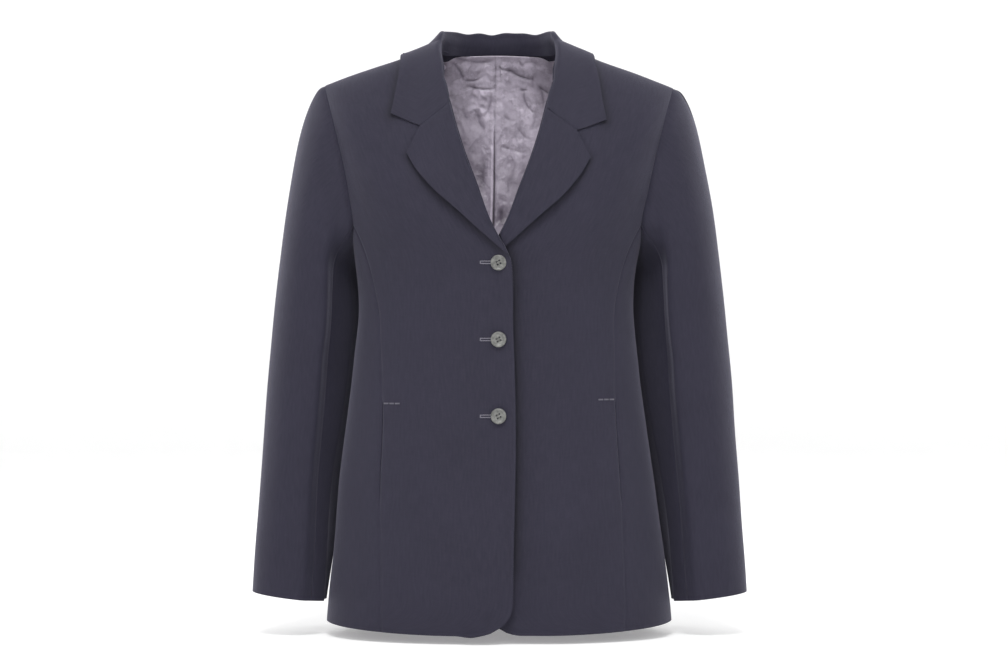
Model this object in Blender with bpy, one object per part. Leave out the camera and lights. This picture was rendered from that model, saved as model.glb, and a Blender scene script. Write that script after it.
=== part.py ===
"""Suit jacket, single-breasted, three buttons, notched lapels, filled out with no wearer.

Blender 4.5, metres, +Z up. The front faces -Y and +X is the wearer's left. The origin is on the
centre plane between the neck points of the shoulders, on the line of the shoulder seams.
Every cloth piece is a closed wall: its outer face lies on the form below, its inner face inside it.
Lengths in the tables and constants are millimetres; they become metres where a mesh is made.
"""

import math
from collections import namedtuple

import bmesh
import bpy
import numpy as np
from mathutils import Matrix, Vector

MM = 0.001
WALL = 1.6            # body and sleeve cloth with its lining
DOUBLE_WALL = 2.0     # two layers of cloth: lapels and collar
LINING_WALL = 1.0
SEAM_INSET = 0.16     # each edge of a piece stands this far back from its seam
MID = -2.2            # x of the line through the buttons

# The body's horizontal sections: centre, half width, depth in front of and behind the side line.
Body = namedtuple("Body", "z centre half front back power")
BODY = (
    Body(-700, -1.8, 205.5, 122, 134, 2.35),
    Body(-651, -1.8, 201.5, 121, 131, 2.35),
    Body(-580, -2.4, 193.8, 119, 126, 2.35),
    Body(-509, -4.6, 186.5, 116, 119, 2.35),
    Body(-438, -5.4, 176.6, 113, 110, 2.35),
    Body(-367, -5.8, 167.5, 110, 102, 2.35),
    Body(-302, -5.4, 162.0, 110, 100, 2.35),
    Body(-260, -5.4, 165.5, 115, 104, 2.35),
    Body(-225, -4.2, 171.5, 120, 109, 2.5),
    Body(-173, -2.8, 184.0, 121, 114, 2.8),
    Body(-110, -2.2, 197.0, 106, 115, 3.1),
    Body(-46, -1.6, 208.5, 87, 105, 3.2),
    Body(30, -1.4, 214.0, 78, 98, 3.2),
)

# The ridge where front and back meet: height over the distance from the centre.
Ridge = namedtuple("Ridge", "x z")
RIDGE = (
    Ridge(0, 34), Ridge(30, 28.5), Ridge(50, 17.5), Ridge(62, 9.5), Ridge(75, 5),
    Ridge(119, -12.5), Ridge(155, -25), Ridge(190, -38), Ridge(208, -45), Ridge(216, -48),
)
SHOULDER_TILT = 0.0105  # the wearer's left shoulder sits this much lower per mm outwards
SHOULDER_SLOPE = 0.37   # fall of the ridge per mm where the collar's edge crosses it
FRONT_ROUNDING = 130  # height over which the front rounds in to the ridge near the neck
BACK_ROUNDING = 90
TIP_ROUNDING = 62     # and at the shoulder tip
TIP_FROM = 105        # distance from the centre where the tip's rounding begins
TIP_TO = 200

# Seam between front and side panel: share of the half width, on each side of the wearer.
SideSeam = namedtuple("SideSeam", "z right left back")
SIDE_SEAM = (
    SideSeam(-690, 0.660, 0.712, 0.690),
    SideSeam(-605, 0.690, 0.738, 0.715),
    SideSeam(-548, 0.710, 0.755, 0.735),
    SideSeam(-415, 0.753, 0.803, 0.775),
    SideSeam(-367, 0.788, 0.826, 0.800),
    SideSeam(-302, 0.850, 0.862, 0.835),
    SideSeam(-260, 0.886, 0.893, 0.880),
    SideSeam(-225, 0.932, 0.934, 0.925),
    SideSeam(-207, 0.966, 0.966, 0.950),
)

# The armhole is cut round the shoulder: share of the half width at each height.
Armhole = namedtuple("Armhole", "z front back")
ARMHOLE = (
    Armhole(-236, 1.000, 1.000), Armhole(-232, 0.9985, 0.998), Armhole(-222, 0.990, 0.982),
    Armhole(-207, 0.966, 0.950), Armhole(-173, 0.955, 0.932), Armhole(-142, 0.953, 0.928),
    Armhole(-110, 0.957, 0.934), Armhole(-78, 0.970, 0.955), Armhole(-55, 0.985, 0.980),
    Armhole(-45, 0.992, 0.992),
)
ARMHOLE_TOP = -45.4
ARMHOLE_FOOT = -236
ARMHOLE_STEP = 15     # degrees between the points round the armhole
SIDE_SEAM_TURN = 135  # degrees from the shoulder tip to where a side panel's seam meets the armhole

HEM_CORNER_TOP = -645  # the front edge is straight down to here

# Front edge and roll line: distance from MID to the wearer's own side, negative past the middle.
Edge = namedtuple("Edge", "z edge")
FRONT_EDGE = (
    Edge(HEM_CORNER_TOP, -16.2), Edge(-601, -16.6), Edge(-570, -17.2), Edge(-450, -19.2), Edge(-394, -18.4),
    Edge(-324, -16.2), Edge(-268, -15.4), Edge(-254, -14.2), Edge(-239, -8.6), Edge(-223, 1.0),
    Edge(-206, 9.5), Edge(-169, 23.3), Edge(-135, 36.3), Edge(-101, 47.5), Edge(-71, 55.5),
    Edge(-42, 64.5), Edge(-13, 71.0), Edge(6, 73.5),
)
HEM_CORNER_WIDTH = 45
HEM_CORNER_HEIGHT = 35
HEM_SIDE = -673.3
HEM_FRONT_DROP = 6.0
HEM_LEVEL_AT = 200    # distance from MID where the front's hem comes level with the sides
HEM_ROWS = 3          # rows over which the hem's curve fades out upwards
UNDERLAP = 2.3        # how far the left front lies inside the right one
UNDERLAP_FROM = 18
UNDERLAP_TO = 62

# Lapel: outer edge from the break up to the point, then the notch and the gorge end on the roll.
Outline = namedtuple("Outline", "x z")
LAPEL_EDGE = (
    Outline(-9.5, -244), Outline(-0.6, -236.5), Outline(21.5, -217.2), Outline(49.4, -192),
    Outline(72.3, -172.4), Outline(91.8, -150.4), Outline(104.0, -130.5),
)
NOTCH = Outline(88.8, -98.5)
GORGE_END = -71.5
LAPEL_BREAK = -243
LEFT_LAPEL_DROP = 5.0  # the left lapel's notch hangs this much lower
LEFT_BREAK_DROP = 8.0  # and so does its foot
LEFT_LAPEL_FOOT = -222  # the left lapel goes in under the right front here
LEFT_LAPEL_START = 0.235
LAPEL_REST = 0.7       # its inner face over the front
ROLL_LIFT = 2.6        # extra lift beside the roll line
ROLL_SPREAD = 12

# Collar, from the centre back round to the gorge end: neck seam, fold line and outer edge.
Collar = namedtuple("Collar", "seam_x seam_z fold_x fold_y fold_z edge_x edge_z")
COLLAR = (
    Collar(0, 0.0, 0, 75, 26.6, 0, -21),
    Collar(30, 0.3, 28, 68.5, 26.4, 40, -20.5),
    Collar(54, 0.9, 51, 50, 26.0, 74, -19),
    Collar(69, 2.0, 63.5, 25, 25.2, 98, -15.5),
    Collar(75, 4.2, 66.5, 2, 22.0, 112, -9.0),
    Collar(75, -2.0, 69, -17, 9, 114, -25.5),
    Collar(71.5, -22, 68, -45, -13, 116, -44),
    Collar(66, -46, 63, -67, -40, 119, -63),
    Collar(57.5, -73, 54.7, -87, -71.5, 123.0, -85.5),
)
COLLAR_RIDGE_ROW = 4
COLLAR_SAG = 7.0       # the fall dips this much towards the shoulder between fold and edge
LEFT_COLLAR_IN = 4.0   # the collar stands this much nearer the neck on the wearer's left
COLLAR_BACK_LIFT = 0.5  # extra room under the collar behind the gorge
STAND_TOP_GAP = 2.4    # the stand ends this far below the fold
STAND_SHARE = 0.970    # its foot stands inside the neck seam by this share
STAND_FOOT = 1.7       # height of its lower edge over the neck seam
STAND_END = 7.0        # and it ends at this station of the table
COLLAR_RIDGE_LIFT = 1.4  # more room where the collar crosses the shoulder seam
RIDGE_REACH = 2        # stations to each side of the ridge that its extra shaping reaches
FALL_OUT = 1.9         # behind the neck the fall first goes out, then down: powers of its width
FALL_DOWN = 1.4
FALL_EASED = 3.5       # station where that has faded out
LAID_FROM = 5          # from this station on, within two more, the fall comes to lie on the front
LAID_WITHIN = 2
GORGE_STATIONS = 1.6   # length of the collar's end that takes up the slant of the gorge

# Sleeve sections down the arm: outer silhouette, middle and half depth front to back.
Sleeve = namedtuple("Sleeve", "z outer middle depth")
SLEEVE = (
    Sleeve(-265, 262.8, 14, 64),
    Sleeve(-341, 271.2, 18, 60),
    Sleeve(-417, 277.4, 17, 55.5),
    Sleeve(-493, 282.0, 9, 50.5),
    Sleeve(-568, 286.8, -3, 45),
    Sleeve(-644, 291.0, -16, 40),
)
SLEEVE_MID = -1.0      # x of the plane between the sleeves
CUFF_SLANT = 6.0       # the cuff's outer side is this much higher than its middle
ARM_CLEARANCE = 1.3    # sleeve to body where the two lie side by side
ARM_PRESS = 4.0        # how far the sleeve would reach into the body if it weren't pressed flat
FRONT_SLEEVE_SEAM = 225  # degrees round the sleeve: 0 outer, 90 back, 180 inner, 270 front
BACK_SLEEVE_SEAM = 105
SLEEVE_SQUARE = 0.92   # power of the sleeve's section: 1 is an ellipse
CUFF_SLANT_FROM = -400  # the cuff's slant begins at this height

# Sleeve cap: the curve's handles as shares of its length, over the armhole and where it arrives.
CAP_OUT = 0.107
CAP_SPREAD = 0.07
CAP_DOWN = 0.24
CAP_FULLNESS = 0.065
CAP_DROP = 0.567
CAP_DROP_UNDERARM = 0.2

# Rows and columns of the walls.
SEAM_ROWS = 15
ARMHOLE_ROWS = SIDE_SEAM_TURN // ARMHOLE_STEP
CORNER_ROWS = 3
FRONT_COLUMNS = 9
BACK_COLUMNS = 7
UNDERARM_STEPS = 2 * (180 - SIDE_SEAM_TURN) // ARMHOLE_STEP
SIDE_COLUMNS = 2 * UNDERARM_STEPS
CAP_ROWS = 5
ARM_ROWS = 10
LAPEL_ROWS = 12
LAPEL_COLUMNS = 5
NOTCH_COLUMN = 3
COLLAR_COLUMNS = 20
COLLAR_ROWS = 4
LINING_ROWS = 15
LINING_COLUMNS = 5

LINING_DEPTH = 2.2     # lining's outer face below the back's inner face
LINING_HEM = -652
LINING_SIDE = 62       # degrees from the centre back

POCKET_TOP = -412
POCKET_FOOT = -548
POCKET_REACH = 0.085   # share of the half width to each side of the seam
POCKET_ROWS = 8
POCKET_DEPTH = 0.9

BUTTON_Z = (-254.6, -342.6, -430.1)
BUTTON_RADIUS = 9.0
BUTTON_STAND = 1.3     # thread shank between cloth and button
SHANK_RADIUS = 1.3
HOLE_RADIUS = 0.95
HOLE_OFFSET = 1.75
BUTTON_SIDES = 20
HOLE_SIDES = 8
BUTTON_CLEARANCE = 0.3  # shank to cloth
BUTTON_FACE = 1.9       # height of the sunk middle
Turned = namedtuple("Turned", "radius height")
BUTTON_PROFILE = (
    Turned(0, -BUTTON_STAND), Turned(SHANK_RADIUS, -BUTTON_STAND), Turned(SHANK_RADIUS, 0),
    Turned(7.6, 0), Turned(BUTTON_RADIUS, 0.9), Turned(BUTTON_RADIUS, 2.2), Turned(8.2, 2.9),
    Turned(7.0, 2.7), Turned(6.0, 2.0), Turned(0, BUTTON_FACE),
)

CLOTH = (0.040, 0.036, 0.052)
LINING = (0.30, 0.265, 0.33)
HORN = (0.20, 0.20, 0.19)


# --- tables and curves ---------------------------------------------------------------------------

def column(rows, name):
    return np.array([getattr(row, name) for row in rows], float)


def smooth(at, knots, values):
    """Cubic curve through the values, each knot's slope taken from its neighbours."""
    at = np.clip(np.asarray(at, float), knots[0], knots[-1])
    slopes = np.gradient(values, knots)
    i = np.clip(np.searchsorted(knots, at, side="right") - 1, 0, len(knots) - 2)
    span = knots[i + 1] - knots[i]
    t = (at - knots[i]) / span
    return (
        (1 + 2 * t) * (1 - t) ** 2 * values[i]
        + t * (1 - t) ** 2 * span * slopes[i]
        + t * t * (3 - 2 * t) * values[i + 1]
        + t * t * (t - 1) * span * slopes[i + 1]
    )


def table(rows, name, at, key="z"):
    return smooth(at, column(rows, key), column(rows, name))


def ease(value):
    value = np.clip(value, 0, 1)
    return value * value * (3 - 2 * value)


def signed_power(value, power):
    return np.sign(value) * np.abs(value) ** power


# --- the body's form -----------------------------------------------------------------------------

def ridge(x):
    return table(RIDGE, "z", np.abs(x), "x") - SHOULDER_TILT * x


def depth_squared(x, z, back):
    """Square of the body's depth at x and z; it goes on smoothly below zero outside the body."""
    power = table(BODY, "power", z)
    share = np.abs(x - table(BODY, "centre", z)) / table(BODY, "half", z)
    across = signed_power(1 - share**power, 2 / power)
    rounding = BACK_ROUNDING if back else FRONT_ROUNDING
    rounding = rounding + (TIP_ROUNDING - rounding) * ease((np.abs(x) - TIP_FROM) / (TIP_TO - TIP_FROM))
    below = np.minimum((ridge(x) - z) / rounding, 1)
    return table(BODY, "back" if back else "front", z) ** 2 * across * (1 - (1 - below) ** 2)


def surface(x, z, back=False):
    """Point on the outer form, in front of or behind the ridge."""
    y = np.sqrt(np.maximum(depth_squared(x, z, back), 0))
    return np.stack([x + 0 * y, y if back else -y, z + 0 * y], axis=-1)


def normals(points, back, unit=True):
    """Outward normals: the slope of y squared less the squared depth."""
    step = 0.02
    x, y, z = points[..., 0], points[..., 1], points[..., 2]
    across = (depth_squared(x + step, z, back) - depth_squared(x - step, z, back)) / (2 * step)
    upward = (depth_squared(x, z + step, back) - depth_squared(x, z - step, back)) / (2 * step)
    raw = np.stack([-across, 2 * y, -upward], axis=-1)
    return raw / np.linalg.norm(raw, axis=-1, keepdims=True) if unit else raw


def turn_of(x, z):
    """Angle round the section, 0 at the middle of the front and 90 at the side."""
    share = (x - table(BODY, "centre", z)) / table(BODY, "half", z)
    return np.arcsin(np.clip(signed_power(share, table(BODY, "power", z) / 2), -1, 1))


def x_at(turn, z):
    share = signed_power(np.sin(turn), 2 / table(BODY, "power", z))
    return table(BODY, "centre", z) + table(BODY, "half", z) * share


# --- walls ---------------------------------------------------------------------------------------

def inset_edges(outer, amount):
    """Movement that draws the four edges of a grid back from their seams."""
    move = np.zeros_like(outer)
    for axis in (0, 1):
        grid = np.moveaxis(outer, axis, 0)
        part = np.moveaxis(move, axis, 0)
        for edge, near in ((0, 1), (-1, -2)):
            step = grid[near] - grid[edge]
            length = np.maximum(np.linalg.norm(step, axis=-1, keepdims=True), 1e-6)
            part[edge] += step / length * amount
    return move


def wall(name, outer, inner, colour, roughness=0.9, inset=SEAM_INSET):
    """Closed wall between two grids of points, joined round their four edges."""
    move = inset_edges(outer, inset)
    outer = outer + move
    inner = inner + move
    rows, columns = outer.shape[:2]
    mesh = bmesh.new()
    sides = []
    for grid in (outer, inner):
        sides.append([[mesh.verts.new(grid[r, c] * MM) for c in range(columns)] for r in range(rows)])
    face, back = sides
    for r in range(rows - 1):
        for c in range(columns - 1):
            mesh.faces.new((face[r][c], face[r][c + 1], face[r + 1][c + 1], face[r + 1][c]))
            mesh.faces.new((back[r][c], back[r + 1][c], back[r + 1][c + 1], back[r][c + 1]))
    rim = [(0, c) for c in range(columns - 1)]
    rim += [(r, columns - 1) for r in range(rows - 1)]
    rim += [(rows - 1, c) for c in range(columns - 1, 0, -1)]
    rim += [(r, 0) for r in range(rows - 1, 0, -1)]
    for (r, c), (r2, c2) in zip(rim, rim[1:] + rim[:1]):
        mesh.faces.new((face[r2][c2], face[r][c], back[r][c], back[r2][c2]))
    bmesh.ops.recalc_face_normals(mesh, faces=mesh.faces)
    return add_object(name, mesh, colour, roughness)


def add_object(name, mesh, colour, roughness):
    data = bpy.data.meshes.new(name)
    mesh.to_mesh(data)
    mesh.free()
    made = bpy.data.objects.new(name, data)
    bpy.context.scene.collection.objects.link(made)
    data.materials.append(material(name, colour, roughness))
    return made


def material(name, colour, roughness):
    made = bpy.data.materials.new(name)
    made.use_nodes = True
    shader = made.node_tree.nodes["Principled BSDF"]
    shader.inputs["Base Color"].default_value = (*colour, 1)
    shader.inputs["Roughness"].default_value = roughness
    shader.inputs["Metallic"].default_value = 0
    made.diffuse_color = (*colour, 1)
    return made


def body_wall(name, x, z, back, shift=0.0, thickness=WALL, colour=CLOTH):
    """Wall whose outer face is the form at x and z, moved out by shift."""
    points = surface(x, z, back)
    out = normals(points, back)
    lift = np.broadcast_to(shift, x.shape)[..., None]
    outer = points + out * lift
    return wall(name, outer, outer - out * thickness, colour)


# --- seams of the body ---------------------------------------------------------------------------

def seam_heights():
    return np.linspace(HEM_SIDE, ARMHOLE_FOOT + armhole_rise(SIDE_SEAM_TURN), SEAM_ROWS + 1)


def armhole_rise(degrees):
    """Height over the foot of the armhole at this angle from the shoulder tip."""
    half = (ARMHOLE_TOP - ARMHOLE_FOOT) / 2
    return half * (1 + math.cos(math.radians(degrees)))


def armhole(side, degrees):
    """Point round the armhole: 0 is the shoulder tip, 180 the foot; past 180 it is in front."""
    back = degrees <= 180
    z = ARMHOLE_FOOT + armhole_rise(degrees)
    share = table(ARMHOLE, "back" if back else "front", z)
    x = table(BODY, "centre", z) + side * share * table(BODY, "half", z)
    if degrees % 360 == 0:
        z = ridge(x)
    return float(x), float(z), back


def side_seam(side, z, where):
    share = table(SIDE_SEAM, where, z)
    return table(BODY, "centre", z) + side * share * table(BODY, "half", z)


def hem(x):
    """Height of the hem: the front hangs a little lower than the sides."""
    share = np.clip(np.abs(x - MID) / HEM_LEVEL_AT, 0, 1)
    return HEM_SIDE - HEM_FRONT_DROP * (1 - share**3)


def front_edge(side, z):
    return MID + side * table(FRONT_EDGE, "edge", z)


def rows_between(inner, outer, columns, top):
    """Rows of x and z from one boundary to the other, even round the body.

    Each boundary is a list of (x, z). The last row follows the line top(x), and the rows below it
    lean towards that shape less and less.
    """
    inner, outer = np.array(inner, float), np.array(outer, float)
    u = np.linspace(0, 1, columns + 1)[None, :]
    first = turn_of(inner[:, 0], inner[:, 1])[:, None]
    last = turn_of(outer[:, 0], outer[:, 1])[:, None]
    turn = first + (last - first) * u
    straight = inner[:, 1:] + (outer[:, 1:] - inner[:, 1:]) * u
    rows = len(inner) - 1
    weight = ease((np.arange(rows + 1) - SEAM_ROWS) / (rows - SEAM_ROWS))[:, None]
    line = inner[-1, 1] + (outer[-1, 1] - inner[-1, 1]) * u
    z = straight
    for _ in range(12):
        z = straight + weight * (top(x_at(turn, z)) - line)
    hem_weight = np.clip(1 - np.arange(rows + 1) / HEM_ROWS, 0, 1)[:, None]
    x = x_at(turn, z)
    ends = hem(x[:1, :1]) * (1 - u) + hem(x[:1, -1:]) * u
    z = z + hem_weight * (hem(x[:1]) - ends)
    return x_at(turn, z), z


def front_rows(side):
    seam = "left" if side > 0 else "right"
    heights = seam_heights()
    outer = [(side_seam(side, z, seam), z) for z in heights]
    outer[0] = (outer[0][0], hem(outer[0][0]))
    inner = []
    for row, z in enumerate(heights):
        if row < CORNER_ROWS:
            angle = math.radians(90 * row / CORNER_ROWS)
            start = front_edge(side, HEM_CORNER_TOP)
            x = start + side * HEM_CORNER_WIDTH * (1 - math.sin(angle))
            inner.append((x, HEM_CORNER_TOP - HEM_CORNER_HEIGHT * math.cos(angle)))
        else:
            inner.append((front_edge(side, z), z))
    neck_x = float(front_edge(side, FRONT_EDGE[-1].z))
    neck_z = float(ridge(neck_x))
    low = heights[-1]
    for step in range(1, ARMHOLE_ROWS + 1):
        z = low + (neck_z - low) * math.sin(math.pi / 2 * step / ARMHOLE_ROWS)
        inner.append((float(front_edge(side, z)), z))
        x, z, _ = armhole(side, 180 + 180 - SIDE_SEAM_TURN + ARMHOLE_STEP * step)
        outer.append((x, z))
    inner[-1] = (neck_x, neck_z)
    return rows_between(inner, outer, FRONT_COLUMNS, ridge)


def front(name, side):
    x, z = front_rows(side)
    return body_wall(name, x, z, False, -underlap(side, x))


def neckline(x):
    """Top edge of a back: the shoulder seam, then the neck seam below the ridge."""
    point = COLLAR[COLLAR_RIDGE_ROW]
    neck = point.seam_z * np.clip(np.abs(x) / point.seam_x, 0, 1) ** 2
    return np.where(np.abs(x) < point.seam_x, np.minimum(neck, ridge(x)), ridge(x))


def back_rows(side, columns=BACK_COLUMNS):
    heights = seam_heights()
    outer = [(side_seam(side, z, "back"), z) for z in heights]
    outer[0] = (outer[0][0], HEM_SIDE)
    middle = table(BODY, "centre", heights)
    inner = [(x, z) for x, z in zip(middle, heights)]
    low = heights[-1]
    for step in range(1, ARMHOLE_ROWS + 1):
        z = low * (1 - math.sin(math.pi / 2 * step / ARMHOLE_ROWS))
        inner.append((float(table(BODY, "centre", z)), z))
        x, z, _ = armhole(side, SIDE_SEAM_TURN - ARMHOLE_STEP * step)
        outer.append((x, z))
    return rows_between(inner, outer, columns, neckline)


def back(name, side):
    x, z = back_rows(side)
    return body_wall(name, x, z, True)


def side_grid(side):
    """Side panel from the front seam round under the arm to the back seam."""
    seam = "left" if side > 0 else "right"
    heights = seam_heights()
    front_turn = turn_of(side_seam(side, heights, seam), heights) * side
    back_turn = math.pi - turn_of(side_seam(side, heights, "back"), heights) * side
    u = np.linspace(0, 1, SIDE_COLUMNS + 1)[None, :]
    turn = front_turn[:, None] + (back_turn - front_turn)[:, None] * u
    z = np.repeat(heights[:, None], SIDE_COLUMNS + 1, axis=1)
    ends = np.arange(UNDERARM_STEPS + 1)
    top = [armhole(side, 360 - SIDE_SEAM_TURN - ARMHOLE_STEP * step) for step in ends]
    top_turn = [turn_of(x, z) * side for x, z, _ in top]
    top_turn = [math.pi - turn if at_back else turn for turn, (_, _, at_back) in zip(top_turn, top)]
    at = np.linspace(0, UNDERARM_STEPS, SIDE_COLUMNS + 1)
    side_x = x_at(np.minimum(turn[:1], math.pi / 2) * side, z[:1])
    z[:1] = np.where(turn[:1] < math.pi / 2, hem(side_x), HEM_SIDE)
    weight = np.linspace(0, 1, SEAM_ROWS + 1)[:, None] ** 3
    z = z + weight * (np.interp(at, ends, [z for _, z, _ in top]) - heights[-1])[None, :]
    turn = turn + weight * (np.interp(at, ends, top_turn) - turn[-1])[None, :]
    ahead = turn <= math.pi / 2
    share = signed_power(np.sin(turn), 2 / table(BODY, "power", z))
    x = table(BODY, "centre", z) + side * table(BODY, "half", z) * share
    points = np.where(ahead[..., None], surface(x, z, False), surface(x, z, True))
    out = np.where(ahead[..., None], normals(points, False), normals(points, True))
    points[-1, 1::2] = (points[-1, :-1:2] + points[-1, 2::2]) / 2
    return points, out


def side_panel(name, side):
    points, out = side_grid(side)
    return wall(name, points, points - out * WALL, CLOTH)


# --- lapels and collar ---------------------------------------------------------------------------

def lift_from_roll(distance):
    return LAPEL_REST + ROLL_LIFT * np.exp(-distance / ROLL_SPREAD)


def bent(start, corner, end, share, count):
    """Points from start over a corner to end, with the corner at its own step."""
    start, corner, end = (np.array(p, float) for p in (start, corner, end))
    rest = count - share
    points = [start + (corner - start) * i / share for i in range(share)]
    points += [corner + (end - corner) * i / rest for i in range(rest + 1)]
    return np.array(points)


def gorge(side):
    """The gorge seam: its end on the roll line and the notch, as (distance from MID, z)."""
    drop = LEFT_LAPEL_DROP if side > 0 else 0.0
    end = GORGE_END - drop
    return (float(table(FRONT_EDGE, "edge", end)), end), (NOTCH.x, NOTCH.z - drop)


def lapel_rows(side):
    """x and z of the lapel, a row from the roll line to the outer edge at each step up."""
    left = side > 0
    low = LEFT_LAPEL_FOOT if left else LAPEL_BREAK
    start = LEFT_LAPEL_START if left else 0.0
    end, notch = gorge(side)
    along = np.linspace(0, 1, len(LAPEL_EDGE))
    at = start + (1 - start) * np.linspace(0, 1, LAPEL_ROWS + 1)
    drop = LEFT_BREAK_DROP + (LEFT_LAPEL_DROP - LEFT_BREAK_DROP) * at if left else 0 * at
    rim = np.stack([
        smooth(at, along, column(LAPEL_EDGE, "x")),
        smooth(at, along, column(LAPEL_EDGE, "z")) - drop,
    ], -1)
    top = bent(end, notch, rim[-1], NOTCH_COLUMN, LAPEL_COLUMNS)
    share = np.linspace(0, 1, LAPEL_COLUMNS + 1)[:, None]
    bend = top - (top[0] + (top[-1] - top[0]) * share)
    grid = []
    for v, edge in zip(np.linspace(0, 1, LAPEL_ROWS + 1), rim):
        z_roll = low + (end[1] - low) * v
        roll = np.array([float(table(FRONT_EDGE, "edge", z_roll)), z_roll])
        grid.append(roll + (edge - roll) * share + bend * v**4)
    grid = np.array(grid)
    return MID + side * grid[..., 0], grid[..., 1]


def underlap(side, x):
    """How far the left front, and what lies on it, stands back near the middle."""
    if side < 0:
        return 0 * x
    return UNDERLAP * (1 - ease((x - MID - UNDERLAP_FROM) / (UNDERLAP_TO - UNDERLAP_FROM)))


def lapel(name, side):
    x, z = lapel_rows(side)
    distance = np.hypot(x - x[:, :1], z - z[:, :1])
    points = surface(x, z)
    out = normals(points, False)
    inner = points + out * (lift_from_roll(distance) - underlap(side, x))[..., None]
    return wall(name, inner + out * DOUBLE_WALL, inner, CLOTH)


def collar_stations():
    """Collar table read at even steps from the right gorge end round the back to the left one."""
    knots = np.arange(len(COLLAR), dtype=float)
    half = np.linspace(0, 1, COLLAR_COLUMNS + 1) * knots[-1]
    at = np.concatenate([half[::-1], half[1:]])
    side = np.concatenate([-np.ones(COLLAR_COLUMNS + 1), np.ones(COLLAR_COLUMNS)])
    values = {name: smooth(at, knots, column(COLLAR, name)) for name in Collar._fields}
    return at, side, values


def clear_of_body(points, lift):
    """Move points nearer the body than lift straight out to it, by the form's own slope."""
    moved = points.copy()
    for _ in range(6):
        for back in (False, True):
            chosen = (moved[..., 1] >= 0) == back
            inside = moved[..., 1] ** 2 - depth_squared(moved[..., 0], moved[..., 2], back)
            raw = normals(moved, back, unit=False)
            slope = np.linalg.norm(raw, axis=-1)
            short = np.clip(lift - inside / slope, 0, 4)
            step = raw / slope[..., None] * np.where(chosen, short, 0)[..., None]
            moved = moved + step
    return moved


def neck_curves():
    """Grids' shared lines, from the right gorge end round the back to the left one.

    Returns the station numbers, the wearer's side at each, and the seam, fold and edge points.
    """
    at, side, c = collar_stations()
    drop = np.where(side > 0, LEFT_LAPEL_DROP, 0.0) * ease((at - LAID_FROM) / 3)
    last = len(COLLAR) - 1
    ahead = at > COLLAR_RIDGE_ROW
    end_x = np.array([gorge(s)[0][0] for s in side])
    fold_x = c["fold_x"] + (end_x - c["fold_x"]) * np.clip(at - last + 1, 0, 1)
    near_ridge = np.clip(1 - np.abs(at - COLLAR_RIDGE_ROW) / RIDGE_REACH, 0, 1)
    inward = np.where(side > 0, LEFT_COLLAR_IN, 0) * near_ridge
    fold = np.stack([MID + side * (fold_x - inward), c["fold_y"], c["fold_z"] - drop], -1)
    seam_z = c["seam_z"] - drop
    seam_x = np.where(ahead, np.minimum(c["seam_x"], table(FRONT_EDGE, "edge", seam_z)), c["seam_x"])
    lines = []
    edge_z = c["edge_z"] - drop - SHOULDER_TILT * side * c["edge_x"] + SHOULDER_SLOPE * inward
    for x, z in ((seam_x, seam_z), (c["edge_x"] - inward, edge_z)):
        x = MID + side * x
        y = np.where(ahead, surface(x, z, False)[:, 1], surface(x, z, True)[:, 1])
        lines.append(np.stack([x, y, z], -1))
    seam, edge = lines
    seam[:, :2] *= STAND_SHARE
    return at, side, seam, fold, edge


def collar_fall():
    """Grid of the fall's inner face, a row at each step from the fold line to the outer edge."""
    at, side, _, fold, edge = neck_curves()
    last = len(COLLAR) - 1
    backness = 1 - ease((at - 0.5) / (FALL_EASED - 0.5))
    on_front = ease((at - LAID_FROM) / LAID_WITHIN)
    near_ridge = np.clip(1 - np.abs(at - COLLAR_RIDGE_ROW) / RIDGE_REACH, 0, 1)
    toward_gorge = np.clip(1 - (last - at) / GORGE_STATIONS, 0, 1) ** 2
    notch = np.array([[MID + s * gorge(s)[1][0], gorge(s)[1][1]] for s in side])
    ends = np.where(side > 0, -1, 0)
    middle = (fold[ends] + edge[ends])[:, [0, 2]] / 2
    bend = (notch - middle) * toward_gorge[:, None]
    grid = []
    for w in np.linspace(0, 1, COLLAR_ROWS + 1):
        flat = (w + backness * ((1 - (1 - w) ** FALL_OUT) - w))[:, None]
        down = w + backness * (w**FALL_DOWN - w)
        row = fold + (edge - fold) * flat
        row[:, 2] = fold[:, 2] + (edge[:, 2] - fold[:, 2]) * down
        row[:, 2] -= COLLAR_SAG * 4 * w * (1 - w) * near_ridge
        row[:, [0, 2]] += bend * (1 - abs(2 * w - 1))
        distance = np.hypot(row[:, 0] - fold[:, 0], row[:, 2] - fold[:, 2])
        lift = lift_from_roll(distance) + COLLAR_BACK_LIFT * (1 - on_front)
        lift += COLLAR_RIDGE_LIFT * near_ridge
        free = clear_of_body(row, lift)
        flush = surface(row[:, 0], row[:, 2])
        laid = flush + normals(flush, False) * lift[:, None]
        grid.append(free + (laid - free) * on_front[:, None])
    return np.array(grid), on_front


def collar(name):
    inner, on_front = collar_fall()
    out = grid_normals(inner, np.array([MID, 0, -60]))
    flush = normals(inner, False)
    out = out + (flush - out) * on_front[None, :, None]
    out /= np.linalg.norm(out, axis=-1, keepdims=True)
    return wall(name, inner + out * DOUBLE_WALL, inner, CLOTH)


def grid_normals(grid, outward_from):
    """Unit normals of a grid from its own steps, turned away from a point."""
    across = np.gradient(grid, axis=1)
    along = np.gradient(grid, axis=0)
    raw = np.cross(across, along)
    raw /= np.maximum(np.linalg.norm(raw, axis=-1, keepdims=True), 1e-9)
    facing = ((grid - outward_from) * raw).sum(-1).mean()
    return raw if facing > 0 else -raw


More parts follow.
